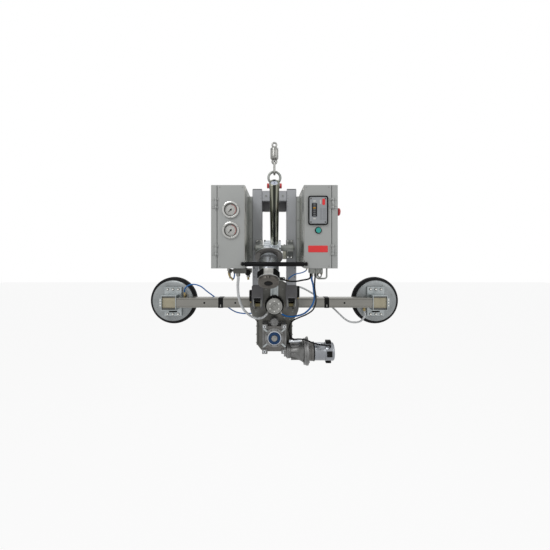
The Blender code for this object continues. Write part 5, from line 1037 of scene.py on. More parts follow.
@dataclass
class ControlCases(Assembly):
    """Cases and doors with the gauges, panel, button, plate, emergency stop and handle."""

    front: float = -0.27
    inner: float = 0.143
    outer: float = 0.275
    low: float = -0.6855
    high: float = -0.286
    back: float = 0.13
    gauge_x: float = -0.2085
    gauge_levels: Pair = (-0.405, -0.503)
    panel: Pair = (0.2085, -0.408)
    button: Pair = (0.21, -0.503)
    stop: Pair = (-0.16, -0.401)
    handle: Pair = (-0.292, -0.664)
    door_face: float = 0.3033
    hinge_pin: Pair = (0.2795, -0.2765)
    red_plate: Pair = (0.2085, -0.592)

    def sheets(self) -> None:
        """Line the inner sides with bright sheet and trim their edges, seams and corners."""
        liner, trim, seam, screws = [], [], [], []
        for sign in SIDES:
            x = (sign * (self.inner - 0.001), sign * (self.inner - 0.0001))
            for y in ((self.front + 0.004, 0.0033), (0.0647, self.back - 0.002)):
                liner.append(box(x, y, (self.low + 0.004, self.high - 0.004), SIDE_SHEET, 0.0002))
            trim += [
                box((sign * (self.inner - 0.0022), sign * (self.inner + 0.0012)),
                    (self.front - 0.0012, self.front + 0.01), (self.low + 0.001, self.high - 0.001), STEEL, 0.0008),
                box((sign * (self.inner - 0.0015), sign * (self.inner + 0.004)),
                    (self.front + 0.01, self.back - 0.002), (self.high - 0.003, self.high + 0.0006), STEEL, 0.0004)]
            for span in ((-0.348, -0.288), (-0.57, -0.4), (-0.684, -0.622)):
                seam.append(box((sign * (self.outer - 0.0022), sign * (self.outer - 0.0004)),
                    (self.front - 0.0006, self.front + 0.001), span, BLACK_PLASTIC, 0.0002))
            for x in (self.inner + 0.01, self.outer - 0.014):
                for z in (self.low + 0.011, self.high - 0.011):
                    place = facing_front(sign * x, self.front, z)
                    screws.append(bolt(0.0032, 0.0012, place, STEEL, 16))
            for z in (self.low + 0.05, self.high - 0.05, -0.485):
                place = facing((sign * (self.inner - 0.001), 0.1, z), (-sign, 0, 0))
                screws.append(bolt(0.0036, 0.0025, place, STEEL, 6))
        self.put("side_sheets", liner, Body.CHASSIS, "zinc")
        self.put("edge_trim", trim, Body.CHASSIS, "steel")
        self.put("seam_gaskets", seam, Body.CHASSIS, "black_rubber")
        self.put("case_screws", screws, Body.CHASSIS, "steel")

    def hinges(self) -> None:
        """Give each hinge smooth knuckles and countersunk screws on its leaves."""
        x, y = self.hinge_pin
        for sign, body in ((-1, Body.LEFT_DOOR), (1, Body.RIGHT_DOOR)):
            fixed, moving = [], []
            for level in (-0.374, -0.596):
                for start, end, group in ((0.0131, 0.0249, fixed), (-0.0249, -0.0131, fixed),
                        (-0.0117, 0.0117, moving)):
                    place = Matrix.Translation((sign * x, y, level))
                    group.append(disc(0.006, end, start, 0.0006, place, CASE_PAINT, 32))
                moving.append(
                    bolt_row(2, (0, 0.03, 0), 0.0026, 0.0008, facing_front(sign * 0.294, -0.273, level), STEEL, 12))
            self.put("case_knuckles_" + body.value, fixed, Body.CHASSIS, "case_paint")
            self.put("door_knuckles_" + body.value, moving, body, "case_paint")

    def door_trim(self) -> None:
        """Add the quarter-turn locks of the doors."""
        for sign, body in ((-1, Body.LEFT_DOOR), (1, Body.RIGHT_DOOR)):
            face = sign * self.door_face
            parts = []
            for z in (-0.33, -0.485, -0.64):
                place = facing((face, 0.1, z), (sign, 0, 0))
                parts += [
                    disc(0.0095, 0.003, 0.0, 0.0008, place, BLACK_PLASTIC, 40),
                    Repeat(Unit.BAR, (0.0022, 0.012, 0.0008), 1).make(raised(place, 0.003), STEEL)]
            self.put("locks_" + body.value, parts, body, "black_plastic")

    def gauge(self, tag: str, level: float, body: Body) -> None:
        """Make a vacuum gauge with its bright flange, bezel, dial and printed marks.

        Args:
            tag: Word for the gauge.
            level: Height of its centre.
            body: Body of its needle.
        """
        face = self.front - FACE_GAP
        place = facing_front(self.gauge_x, face, level)
        flange = lathe([(0, 0.0025), (0.031, 0.0025), (0.0318, 0.0088), (0.033, 0.0092), (0.0375, 0.009),
            (0.0402, 0.008), (0.041, 0.006), (0.041, 0.0), (0.034, 0.0), (0.034, -0.034), (0, -0.034)], place,
            GAUGE_RING, 96)
        bezel = lathe([(0.027, 0.0026), (0.027, 0.0068), (0.0285, 0.0086), (0.0319, 0.0086), (0.0319, 0.0026)], place,
            DARK_STEEL, 96)
        dial = disc(0.0271, 0.0031, 0.002, 0.0002, place, DIAL_WHITE, 96)
        boss = disc(0.002, 0.0045, 0.003, 0.0003, place, STEEL, 24)
        up = raised(place, 0.0031)
        fine = Repeat(Unit.BAR, (0.00035, 0.0022, 0.00012), 60, radius=0.0218).make(up, PRINT_GREY)
        bold = Repeat(Unit.BAR, (0.0008, 0.0036, 0.00014), 12, radius=0.021).make(up, PRINT_GREY)
        band = arc((0, 0), 0.0255, -50, 82, 30) + arc((0, 0), 0.0238, 82, -50, 30)
        red = plate([band], 0.0002, raised(place, 0.0032), DIAL_RED)
        ring = ring_outline((0, 0), 0.015, 40)
        hole = ring_outline((0, 0), 0.0144, 40)
        line = plate([ring, hole], 0.0001, raised(place, 0.00315), PRINT_GREY)
        screws = bolts(3, 0.0362, 0.0021, 0.0012, raised(place, 0.0088), DARK_STEEL, 12, 30)
        self.put(tag + "_gauge_face", [flange, bezel, dial, boss, fine, bold, red, line, screws], Body.CHASSIS,
            "chrome", "gauge_" + tag)
        cap = disc(0.003, 0.0006, 0.0, 0.0002, raised(place, 0.0059), BLACK_PLASTIC, 24)
        self.put(tag + "_needle_cap", [cap], body, "black_plastic")
        self.dress(BLACK_PLASTIC, "needle_" + tag)

    def control_panel(self) -> None:
        """Make the display housing: rim, face, screws, display column, pads and printed bars."""
        x, z = self.panel
        back = self.front - FACE_GAP
        mid = facing_front(x, back, z)
        rim = plate([rounded((0, 0), 0.095, 0.139, 0.01), rounded((0, 0), 0.083, 0.127, 0.006)], 0.01,
            raised(mid, 0.005), BLACK_PLASTIC, 0.0012)
        face = plate([rounded((0, 0), 0.0835, 0.1275, 0.006)], 0.008, raised(mid, 0.004), PANEL_FACE)
        parts = [rim, face]
        top = raised(mid, 0.008)
        for sx in SIDES:
            for sz in SIDES:
                spot = moved(top, sx * 0.0345, sz * 0.056, 0)
                parts.append(disc(0.0036, 0.0012, 0.0, 0.0004, spot, DARK_STEEL, 24))
        parts.append(plate([rounded((-0.018, 0.002), 0.025, 0.064, 0.002)], 0.0012, raised(top, 0.0004), DISPLAY))
        above = raised(top, 0.0011)
        cells = Repeat(Unit.BAR, (0.0052, 0.011, 0.0003), 7, spacing=(0, 0.0088, 0)).make(
            moved(above, -0.018, 0.002, 0), PRINT_GREY)
        parts += [
            cells,
            Repeat(Unit.BAR, (0.0052, 0.011, 0.0005), 1).make(moved(above, -0.018, 0.0108, 0), LAMP_AMBER)]
        for height in (0.044, -0.04):
            parts.append(
                plate([rounded((-0.018, height), 0.012, 0.007, 0.002)], 0.0008, raised(top, 0.0002), DIAL_WHITE))
        parts += [
            plate([rounded((0.011, 0.04), 0.007, 0.02, 0.0015)], 0.0008, raised(top, 0.0002), DIAL_WHITE),
            plate([rounded((0.026, 0.04), 0.013, 0.03, 0.004)], 0.001, raised(top, 0.0003), RED_PLATE)]
        for column, width in ((0.013, 0.011), (0.029, 0.015)):
            parts.append(Repeat(Unit.BAR, (0.0011, width, 0.0002), 14, spacing=(0, 0.0042, 0)).make(
                moved(top, column, -0.018, 0), PRINT_GREY))
        self.put("display_panel", parts, Body.CHASSIS, "black_plastic", "control_panel")

    def push_button(self) -> None:
        """Make the green button and the dark ring round it."""
        x, z = self.button
        place = facing_front(x, self.front, z)
        ring = lathe([(0.0133, 0.0), (0.0133, 0.0056), (0.015, 0.006), (0.016, 0.0052), (0.0163, 0.0)], place,
            BLACK_PLASTIC, 64)
        self.put("button_ring", [ring], Body.CHASSIS, "black_plastic")
        cap = lathe([(0, 0.008), (0.008, 0.0082), (0.0108, 0.0088), (0.012, 0.0086), (0.0125, 0.0076),
            (0.0125, 0.0038), (0.006, 0.0038), (0.006, -0.027), (0, -0.027)], place, GREEN_CAP, 64)
        self.put("green_button", [cap], Body.BUTTON, "green_plastic", "start_button")

    def plates(self) -> None:
        """Put the plain red plate on the right case's front."""
        x, z = self.red_plate
        place = facing_front(x, self.front - FACE_GAP, z)
        red = plate([rounded((0, 0), 0.094, 0.032, 0.003)], 0.0012, raised(place, 0.0003), RED_PLATE, 0.0003)
        self.put("red_front_plate", [red], Body.CHASSIS, "red_plastic")

    def emergency_stop(self) -> None:
        """Make the mushroom head and its collar on the right door."""
        y, z = self.stop
        place = facing((self.door_face, y, z), (1, 0, 0))
        collar = lathe([(0.0127, 0.0162), (0.015, 0.0162), (0.0152, 0.0155), (0.0152, 0.0042), (0.0205, 0.004),
            (0.021, 0.0034), (0.021, 0.0), (0.0127, 0.0)], place, BLACK_PLASTIC, 64)
        self.put("stop_ring", [collar], Body.RIGHT_DOOR, "black_plastic")
        head = lathe([(0, 0.0362), (0.01, 0.0358), (0.015, 0.0345), (0.0185, 0.0315), (0.02, 0.028), (0.02, 0.0236),
            (0.0192, 0.0222), (0.018, 0.0213), (0.008, 0.0213), (0.008, -0.015), (0, -0.015)], place, RED_PAINT, 72)
        grips = Repeat(Unit.BAR, (0.0022, 0.0014, 0.005), 20, radius=0.0196).make(raised(place, 0.024), RED_PAINT)
        self.put("emergency_stop_head", [head, grips], Body.STOP_BUTTON, "red_plastic", "stop_head")

    def handle_bar(self) -> None:
        """Make the padded bar across the case fronts with its end screws."""
        y, z = self.handle
        along = facing((0, y, z), (1, 0, 0))
        profile = [(0, 0.158), (0.0055, 0.158), (0.006, 0.157), (0.006, 0.141), (0.0092, 0.1405)]
        profile += [(0.0105, 0.139), (0.0105, 0.13), (0.01, 0.1294), (0.01, 0.1284), (0.0105, 0.1278)]
        profile += [(radius, -height) for radius, height in reversed(profile)]
        bar = lathe(profile, along, BLACK_POWDER, 64)
        parts = [bar]
        for sign in SIDES:
            foot = facing((sign * 0.152, self.front, z), (0, -1, 0))
            parts.append(lathe(
                [(0, 0.022), (0.0042, 0.022), (0.0042, 0.004), (0.009, 0.003), (0.0095, 0.0003), (0, 0.0003)], foot,
                BLACK_POWDER, 40))
            tip = facing((sign * 0.157, y, z), (sign, 0, 0))
            parts.append(lathe(
                [(0, 0.003), (0.0025, 0.0028), (0.0062, 0.0008), (0.0062, -0.001), (0.0062, -0.002), (0, -0.002)],
                tip, DARK_STEEL, 32))
        self.put("front_handle", parts, Body.CHASSIS, "black_plastic", "handle_bar")

    def build(self) -> None:
        """Make everything on the cases."""
        self.dress(CASE_PAINT, "case_left", "case_right", "door_left", "door_right")
        self.dress(BATTERY_BLACK, "battery_pack")
        self.dress(CAST, "vacuum_pump")
        self.sheets()
        self.hinges()
        self.door_trim()
        self.gauge("upper", self.gauge_levels[0], Body.UPPER_NEEDLE)
        self.gauge("lower", self.gauge_levels[1], Body.LOWER_NEEDLE)
        self.control_panel()
        self.push_button()
        self.plates()
        self.emergency_stop()
        self.handle_bar()


@dataclass
class Underside(Assembly):
    """Manifolds, valves, switches and their small tubes below the cases."""

    depth: float = -0.2175

    def left_group(self) -> None:
        """Make the drain elbow with its blue loop, and the black valve with its gland."""
        y = self.depth
        parts = [
            sweep(smooth_route([(-0.226, y, -0.7), (-0.226, y, -0.712), (-0.2225, y, -0.725), (-0.215, y, -0.735),
                (-0.21, y, -0.74)], 5), 0.0045, BRASS, 16),
            bolt(0.0085, 0.013, facing((-0.226, y, -0.7), (0, 0, 1)), STEEL),
            bolt(0.007, 0.007, facing((-0.2095, y, -0.7405), (1, 0, -0.6)), BRASS),
            sweep(smooth_route([(-0.2085, y, -0.7408), (-0.203, y, -0.74), (-0.199, y - 0.001, -0.73),
                (-0.1975, y - 0.001, -0.718), (-0.1965, y, -0.7116)], 5), 0.0034, BLUE_HOSE, 14)]
        self.put("drain_elbow", parts, Body.CHASSIS, "steel")
        valve = [
            lathe([(0, 0.02), (0.012, 0.02), (0.0135, 0.017), (0.0135, 0.003), (0.0115, 0.0), (0, 0.0)],
                facing((-0.13, y, -0.706), (0, -1, -0.25)), BLACK_PLASTIC, 40),
            Repeat(Unit.BAR, (0.003, 0.003, 0.015), 14, radius=0.0128).make(
                facing((-0.13, y - 0.001, -0.7062), (0, -1, -0.25)), BLACK_PLASTIC),
            bolt(0.0085, 0.013, facing((-0.13, y + 0.006, -0.719), (0, 0, -1)), STEEL),
            disc(0.0052, 0.026, 0.0, 0.001, facing((-0.13, y + 0.006, -0.719), (0, 0, -1)), BRASS, 32)]
        self.put("drain_valve", valve, Body.CHASSIS, "black_plastic")

    def right_group(self) -> None:
        """Dress the right manifold with screws, plugs and a bent pipe."""
        y = self.depth - 0.0275
        parts = [
            bolt_row(4, (0.017, 0, 0), 0.004, 0.003, facing_front(0.2035, y, -0.699), STEEL),
            bolt_row(2, (0.018, 0, 0), 0.0065, 0.006, facing((0.225, -0.21, -0.7123), (0, 0, -1)), BRASS)]
        route = smooth_route([(0.23, y + 0.02, -0.712), (0.231, y + 0.015, -0.72), (0.225, y + 0.004, -0.729),
            (0.215, y, -0.7275), (0.212, y + 0.006, -0.72), (0.212, y + 0.012, -0.712)], 6)
        parts.append(sweep(route, 0.003, STEEL, 14))
        self.put("manifold_details", parts, Body.CHASSIS, "steel")

    def switches(self) -> None:
        """Make the two black switch cylinders with their clamps, and the limit switch."""
        radius = 0.0098
        for sign, top in ((-1, -0.827), (1, -0.805)):
            x = sign * (UPRIGHT_SIDE + radius)
            place = Matrix.Translation((x, 0.02, top))
            side = side_word(sign)
            body = lathe([(0, 0.0), (0.006, 0.0), (0.0085, -0.002), (radius, -0.006), (radius, -0.06),
                (0.0085, -0.064), (0, -0.066)], place, BLACK_PLASTIC, 40)
            clamp = box((sign * UPRIGHT_SIDE, sign * 0.13), (0.006, 0.034), (top - 0.04, top - 0.03), STEEL, 0.0006)
            rod = disc(0.0038, -0.0655, -0.074, 0.0008, place, BRASS, 24)
            self.put("switch_" + side + "_cylinder", [body, clamp, rod], Body.CHASSIS, "black_plastic",
                "switch_" + side)
        x, middle = (0.0467, 0.0697), 0.0582
        case = box(x, (0.004, 0.036), (-0.65, -0.576), BEIGE_PLASTIC, 0.006)
        cover = box((x[0] + 0.003, x[1] - 0.003), (0.002, 0.0045), (-0.645, -0.59), BEIGE_PLASTIC, 0.001)
        screws = bolt_row(2, (0, 0.044, 0), 0.0018, 0.0008, facing_front(middle, 0.002, -0.6175), DARK_STEEL, 12)
        stem = disc(0.005, 0.012, 0.0, 0.001, Matrix.Translation((middle, 0.02, -0.5765)), DARK_STEEL, 24)
        self.put("tilt_limit_switch", [case, cover, screws, stem], Body.CHASSIS, "beige_plastic", "limit_switch")

    def build(self) -> None:
        """Make the groups below the cases."""
        self.dress(DARK_STEEL, "manifold_left")
        self.dress(ZINC, "manifold_right")
        self.left_group()
        self.right_group()
        self.switches()


@dataclass
class TiltActuator(Assembly):
    """Gear case, chrome tube, motor and rod that tilt the lower frame."""

    trunnion: Pair = (-0.1, -0.587)
    rod_pin: Pair = (0.1, -0.747)
    tube_reach: float = 0.4388
    tube_radius: float = 0.021
    motor_x: float = -0.029
    motor_end: float = 0.224
    can_radius: float = 0.052
    flange_radius: float = 0.074
    rod_radius: float = 0.014

    def frame(self) -> Matrix:
        """Return the place at the trunnion axis whose Z runs up the tube."""
        lean = math.atan2(self.rod_pin[0] - self.trunnion[0], self.trunnion[1] - self.rod_pin[1])
        return Matrix.Translation((0.0, *self.trunnion)) @ Matrix.Rotation(lean, 4, "X")

    def motor_place(self) -> Matrix:
        """Return the motor's place: Z runs along the motor away from the gear case, Y up the tube."""
        return turned(moved(self.frame(), self.motor_x, 0, 0), 90, "X")

    def gear_case(self) -> None:
        """Make the stepped casting with its covers, bolts and trunnions."""
        frame = self.frame()
        # Upper boxes in the lightened cast as painted highlight, the lower box in plain cast.
        parts = [
            box((-0.058, 0.034), (-0.038, 0.03), (-0.045, 0.028), PALE_CAST_AND_HIGHLIGHT, 0.006, frame),
            box((-0.052, 0.028), (-0.034, 0.026), (-0.046, -0.04), CAST, 0.002, frame),
            box((-0.06, 0.012), (-0.04, -0.03), (-0.04, 0.03), PALE_CAST_AND_HIGHLIGHT, 0.004, frame),
            box((0.012, 0.035), (-0.032, 0.022), (-0.03, 0.01), PALE_CAST_AND_HIGHLIGHT, 0.004, frame)]
        for step, reach in enumerate((-0.033, -0.019, -0.005, 0.009, 0.021)):
            height = 0.0335 - 0.0008 * step
            parts.append(box((-0.057 + 0.001 * step, -0.0245), (reach, reach + 0.0085), (0.024, height), PALE_CAST_AND_HIGHLIGHT,
                0.0022, frame))
        parts.append(box((0.0245, 0.034), (-0.03, 0.026), (0.022, 0.032), PALE_CAST_AND_HIGHLIGHT, 0.0022, frame))
        collar = lathe([(0.0225, 0.0335), (0.0265, 0.0335), (0.0275, 0.032), (0.0275, 0.02), (0.0225, 0.02)], frame,
            PALE_CAST_AND_HIGHLIGHT, 72)
        parts.append(collar)
        for x, y in ((-0.051, 0.026), (-0.051, -0.033), (0.029, 0.024), (0.029, -0.028)):
            parts.append(bolt(0.0042, 0.006, moved(frame, x, y, 0.0275), DARK_STEEL))
        for x, z in ((-0.0535, -0.036), (0.008, -0.036)):
            place = turned(moved(frame, x, -0.04, z), 90, "X")
            parts.append(bolt(0.0046, 0.0045, place, STEEL))
        along = facing((0.0, *self.trunnion), (1, 0, 0))
        parts.append(lathe([(0, 0.105), (0.0098, 0.105), (0.011, 0.1035), (0.011, 0.0708), (0.0165, 0.0706),
            (0.0165, 0.03), (0.0165, -0.056), (0.0165, -0.0706), (0.011, -0.0708), (0.011, -0.1035), (0.0098, -0.105),
            (0, -0.105)], along, ZINC, 48))
        for sign in SIDES:
            place = facing((sign * 0.1052, *self.trunnion), (sign, 0, 0))
            parts.append(disc(0.015, 0.0018, 0.0, 0.0004, place, ZINC, 40))
        self.put("actuator_gear_housing", parts, Body.ACTUATOR, "cast_aluminium", "actuator_gear_case")

    def tube(self) -> None:
        """Make the chrome tube with its painted reflection bands, its tapered foot and its recessed end, and a black
        disc as a hole's painted shade.
        """
        reach, radius, frame = self.tube_reach, self.tube_radius, self.frame()
        tube = lathe([(0.016, reach - 0.004), (0.0168, reach), (radius - 0.0012, reach),
            (radius - 0.0003, reach - 0.0006), (radius, reach - 0.002), (radius, 0.048), (radius - 0.0006, 0.0465),
            (0.016, 0.02), (0.015, 0.013), (0.015, reach - 0.012), (0.016, reach - 0.012)], frame, TUBE_CHROME_REFLECTIONS, 96)
        end = lathe([(0, reach - 0.007), (0.0035, reach - 0.007), (0.004, reach - 0.0035), (0.015, reach - 0.003),
            (0.016, reach - 0.0036), (0.016, reach - 0.012), (0, reach - 0.012)], frame, TUBE_END, 72)
        # Foot in the lightened cast: partly painted highlight.
        foot = lathe([(0.0196, 0.048), (0.0216, 0.0478), (0.0216, 0.045), (0.0168, 0.024), (0.016, 0.015),
            (0.0152, 0.015), (0.0152, 0.024), (0.0196, 0.044)], frame, PALE_CAST_AND_HIGHLIGHT, 72)
        # Black disc: painted shade of a hole.
        place = moved(frame, 0, -0.018, 0.0335) @ Matrix.Rotation(math.pi / 2 - 0.22, 4, "X")
        hole = disc(0.0042, 0.0012, -0.0012, 0.0003, place, BLACK_PLASTIC, 32)
        self.put("chrome_tube", [tube, end, foot, hole], Body.ACTUATOR, "chrome", "actuator_tube")

    def motor(self) -> None:
        """Make the tilt motor from its dark flange to its end disc."""
        place, end, can = self.motor_place(), self.motor_end, self.can_radius
        flange = self.flange_radius
        parts = [
            # Bright rim rings of the flange in the lightened cast: painted highlight.
            lathe([(0, 0.0525), (0.037, 0.0525), (0.037, 0.0405), (0, 0.0405)], place, PALE_CAST_AND_HIGHLIGHT, 72),
            lathe([(0.03, 0.0582), (flange, 0.0582), (flange, 0.054), (flange - 0.002, 0.052), (0.03, 0.052)], place,
                PALE_CAST_AND_HIGHLIGHT, 96),
            lathe([(0.03, 0.064), (flange - 0.003, 0.064), (flange - 0.0008, 0.0622), (flange - 0.0008, 0.0578),
                (0.03, 0.0578)], place, DARK_FLANGE, 96)]
        neck = [(0.03, 0.0825), (0.0425, 0.0825)]
        for step in range(5):
            top = 0.0815 - 0.0034 * step
            neck += [(0.043, top), (0.043, top - 0.0018), (0.0408, top - 0.0021), (0.0408, top - 0.0031)]
        neck += [(0.043, 0.0636), (0.03, 0.0636)]
        parts += [
            lathe(neck, place, PALE_CAST_AND_HIGHLIGHT, 96),
            lathe([(0, end - 0.02), (can - 0.0012, end - 0.02), (can - 0.0004, end - 0.021), (can - 0.0004, 0.085),
                (can - 0.002, 0.0822), (0.04, 0.0815), (0, 0.0815)], place, MOTOR_PAINT, 96),
            lathe([(can - 0.002, 0.203), (can + 0.0002, 0.203), (can + 0.0002, 0.166), (can - 0.002, 0.166)], place,
                CAP_SHELL, 96),
            lathe([(0, end - 0.007), (0.0195, end - 0.007), (0.0208, end - 0.005), (0.0212, end - 0.0012),
                (0.0226, end - 0.0004), (0.024, end - 0.0016), (0.033, end - 0.0016), (0.034, end - 0.0002),
                (can - 0.0055, end), (can - 0.0015, end - 0.0015), (can, end - 0.006), (can, end - 0.019),
                (can - 0.002, end - 0.0205), (0, end - 0.0205)], place, MOTOR_END, 96),
            disc(0.0206, end - 0.003, end - 0.006, 0.0003, place, BLACK_PLASTIC, 64)]
        for angle in (82, 98):
            turn = turned(place, angle)
            parts.append(box((can - 0.004, can + 0.0006), (-0.0022, 0.0022), (end - 0.012, end - 0.001),
                BLACK_PLASTIC, 0.0004, turn))
        for angle in (38, 142):
            turn = turned(place, angle)
            parts += [
                box((can - 0.012, can + 0.0028), (-0.0225, 0.0225), (0.166, 0.2), BLACK_PLASTIC, 0.0045, turn),
                Repeat(Unit.BAR, (0.0016, 0.04, 0.003), 4, spacing=(0, 0.0066, 0)).make(
                    turned(turned(moved(turn, can + 0.0004, 0, 0.183), 90, "Y"), 90), BLACK_PLASTIC)]
        parts += [
            bolts(4, 0.062, 0.0052, 0.0045, raised(place, 0.0638), STEEL, 6, 45),
            bolts(4, 0.0405, 0.0026, 0.0008, raised(place, end - 0.0004), DARK_STEEL, 12, 45)]
        self.put("tilt_drive_motor", parts, Body.ACTUATOR, "steel", "tilt_motor")

    def rod(self) -> None:
        """Make the rod with its eye and pin."""
        frame = self.frame()
        reach = math.hypot(self.rod_pin[0] - self.trunnion[0], self.trunnion[1] - self.rod_pin[1])
        bar = disc(self.rod_radius, 0.416, 0.012 - reach, 0.0012, frame, STEEL, 64)
        along = facing((0.0, *self.rod_pin), (1, 0, 0))
        eye = lathe([(0.0083, 0.012), (0.0155, 0.012), (0.017, 0.0105), (0.017, -0.0105), (0.0155, -0.012),
            (0.0083, -0.012)], along, ZINC, 64)
        pin = disc(0.008, 0.0153, -0.0153, 0.001, along, STEEL, 40)
        self.put("actuator_rod_piece", [bar, eye, pin], Body.ROD, "steel", "actuator_rod")

    def build(self) -> None:
        """Make the actuator."""
        self.gear_case()
        self.tube()
        self.motor()
        self.rod()


@dataclass
class TiltFrame(Assembly):
    """Carrier plate with the rotary union, worm gearbox, gear bell and rotation motor."""

    axis_height: float = -0.93
    output_height: float = -1.108
    plate_front: float = 0.13
    drive: Pair = (0.065, -1.195)
    gearbox_front: float = 0.036
    gearbox_half: float = 0.072

    def plate_dress(self) -> None:
        """Add the bolts, edge screws and switch tab of the carrier plate."""
        front = self.plate_front
        parts = []
        for x, z in ((-0.112, -0.972), (0.112, -0.972), (-0.094, -1.02), (0.094, -1.02), (-0.06, -1.01),
                (0.06, -1.01), (-0.052, -0.838), (0.052, -0.838), (-0.128, -0.88), (0.128, -0.88)):
            parts.append(bolt(0.005, 0.004, facing_front(x, front, z), ZINC))
        for z in (-1.06, -1.11, -1.16):
            for sign in SIDES:
                parts.append(bolt(0.0036, 0.0028, facing((sign * 0.109, front - 0.01, z), (sign, 0, 0)), ZINC))
        parts.append(bolt_row(2, (0.15, 0, 0), 0.006, 0.004, facing((0, front + 0.018, -1.15), (0, 1, 0)), ZINC))
        middle = (0.044, -0.7705)
        parts.append(plate([rounded(middle, 0.043, 0.023, 0.01), ring_outline((0.056, middle[1]), 0.0034, 20)], 0.003,
            facing_front(0, 0.09, 0), ZINC, 0.0005))
        self.put("plate_bolts", parts, Body.TILT_FRAME, "zinc")

    def union(self) -> None:
        """Make the rotary union with its rings, screws and ports."""
        base = self.plate_front - FACE_GAP
        place = facing_front(0, base, self.axis_height)
        front = base - 0.066
        parts = [
            lathe([(0, front + 0.0005), (0.01, front + 0.0005), (0.0115, front - 0.0015), (0.018, front - 0.0015),
                (0.019, front + 0.0002), (0.0215, front + 0.0002), (0.0225, front - 0.0018), (0.039, front - 0.0018),
                (0.04, front), (0.0465, front), (0.048, front - 0.0018), (0.048, 0.038), (0.048, 0.0222),
                (0, 0.0222)], place, STEEL, 96),
            lathe([(0.047, 0.0378), (0.0552, 0.0378), (0.056, 0.037), (0.056, 0.0228), (0.0552, 0.022),
                (0.047, 0.022)], place, BLACK_PLASTIC, 96),
            disc(0.048, 0.0223, 0.0, 0.0008, place, CAST, 96),
            disc(0.0088, front + 0.0028, front - 0.001, 0.0008, place, STEEL, 48),
            bolts(6, 0.03, 0.0034, 0.0016, raised(place, front - 0.002), CHROME, 16, 30),
            bolts(4, 0.0435, 0.0016, 0.0008, raised(place, front - 0.0002), DARK_STEEL, 12, 45)]
        self.put("vacuum_union", parts, Body.TILT_FRAME, "aluminium", "rotary_union")

    def gearbox(self) -> None:
        """Make the worm gearbox casting."""
        back, front, half = self.plate_front - FACE_GAP, self.gearbox_front, self.gearbox_half
        bore = ring_outline((0, self.output_height), 0.0192)
        centre = (0.0, -1.1165)

        def layer(outline: Outline, near: float, far: float, bevel: float, finish: Finish = CAST) -> Piece:
            """Return a cast layer with the shaft's bore between two depths."""
            middle = facing_front(0, (near + far) / 2, 0)
            return plate([outline, bore], far - near, middle, finish, bevel)

        parts = [
            layer(rounded(centre, 0.116, 0.148, 0.02), front + 0.012, back - 0.01, 0.003, DARK_FLANGE),
            layer(rounded(centre, 0.134, 0.166, 0.008), back - 0.014, back, 0.002),
            layer(ring_outline((0, self.output_height), 0.056), front + 0.004, front + 0.016, 0.002),
            # Front ring in the lightened cast: partly painted highlight.
            layer(ring_outline((0, self.output_height), 0.0395, 72), front - 0.005, front + 0.008, 0.0012,
                PALE_CAST_AND_HIGHLIGHT)]
        for sx in SIDES:
            for low, high in ((-1.203, -1.176), (-1.058, -1.03)):
                parts += [
                    box((sx * 0.04, sx * half), (front + 0.004, back - 0.004), (low, high), CAST, 0.004),
                    # Washers in the lightened cast: partly painted highlight.
                    bolt(0.0085, 0.0012, facing_front(sx * 0.058, front + 0.004, (low + high) / 2), PALE_CAST_AND_HIGHLIGHT, 24),
                    bolt(0.005, 0.0045, facing_front(sx * 0.058, front + 0.004, (low + high) / 2), DARK_STEEL)]
            for depth in (0.052, 0.078, 0.104):
                parts.append(box((sx * 0.056, sx * 0.07), (depth, depth + 0.006), (-1.18, -1.052), CAST, 0.0015))
        for turn in (40, 140, 220, 320):
            place = turned(facing_front(0, front + 0.006, self.output_height), turn)
            parts.append(box((0.05, 0.084), (-0.005, 0.005), (-0.014, 0.0015), BRACKET_ZINC, 0.002, place))
        parts.append(bolts(8, 0.0475, 0.0036, 0.0022, facing_front(0, front + 0.004, self.output_height), DARK_STEEL,
            6, 22.5))
        boss = facing_front(0, front + 0.03, -1.02)
        parts += [
            lathe([(0, 0.018), (0.008, 0.018), (0.0085, 0.0215), (0.014, 0.022), (0.015, 0.019), (0.019, 0.019),
                (0.0205, 0.0215), (0.0222, 0.0215), (0.023, 0.0205), (0.023, -0.05), (0, -0.05)], boss, CAST, 72),
            box((-0.014, 0.014), (front + 0.018, back - 0.012), (-1.046, -1.022), CAST, 0.003)]
        inlet = facing((0.056, *self.drive), (1, 0, 0))
        parts += [
            lathe([(0, 0.0272), (0.0385, 0.0272), (0.04, 0.0258), (0.04, 0.018), (0.0385, 0.0165), (0.03, 0.015),
                (0.03, 0.0), (0, 0.0)], inlet, CAST, 72),
            bolts(4, 0.0345, 0.004, 0.0035, facing((0.0716, *self.drive), (-1, 0, 0)), DARK_STEEL, 6, 45),
            bolt(0.0065, 0.0045, facing((-0.058, 0.08, -1.15), (-1, 0, 0)), BRASS)]
        self.put("worm_gear_housing", parts, Body.TILT_FRAME, "cast_aluminium", "worm_gearbox")
        seal = lathe([(0.019, 0.0036), (0.02, 0.004), (0.024, 0.004), (0.025, 0.0034), (0.033, 0.0034),
            (0.034, 0.004), (0.0355, 0.0038), (0.036, 0.003), (0.036, 0.0), (0.019, 0.0)],
            facing_front(0, front - 0.0053, self.output_height), NAVY_RING, 96)
        self.put("output_seal", [seal], Body.TILT_FRAME, "navy_plastic", "shaft_seal")

    def shaft_end(self) -> None:
        """Finish the output shaft's front with a ring, a centre and a slot."""
        place = facing_front(0, 0.0252, self.output_height)
        parts = [
            lathe([(0.0128, 0.0), (0.0128, 0.0007), (0.0166, 0.0007), (0.017, 0.0)], place, STEEL, 64),
            disc(0.006, 0.0009, -0.0002, 0.0003, place, STEEL, 40),
            box((-0.0015, 0.0015), (-0.011, 0.011), (-0.0002, 0.0004), DARK_STEEL, 0.0001, turned(place, -24))]
        self.put("output_shaft_end", parts, Body.PINION, "steel")
        self.dress(STEEL, "drive_pinion")

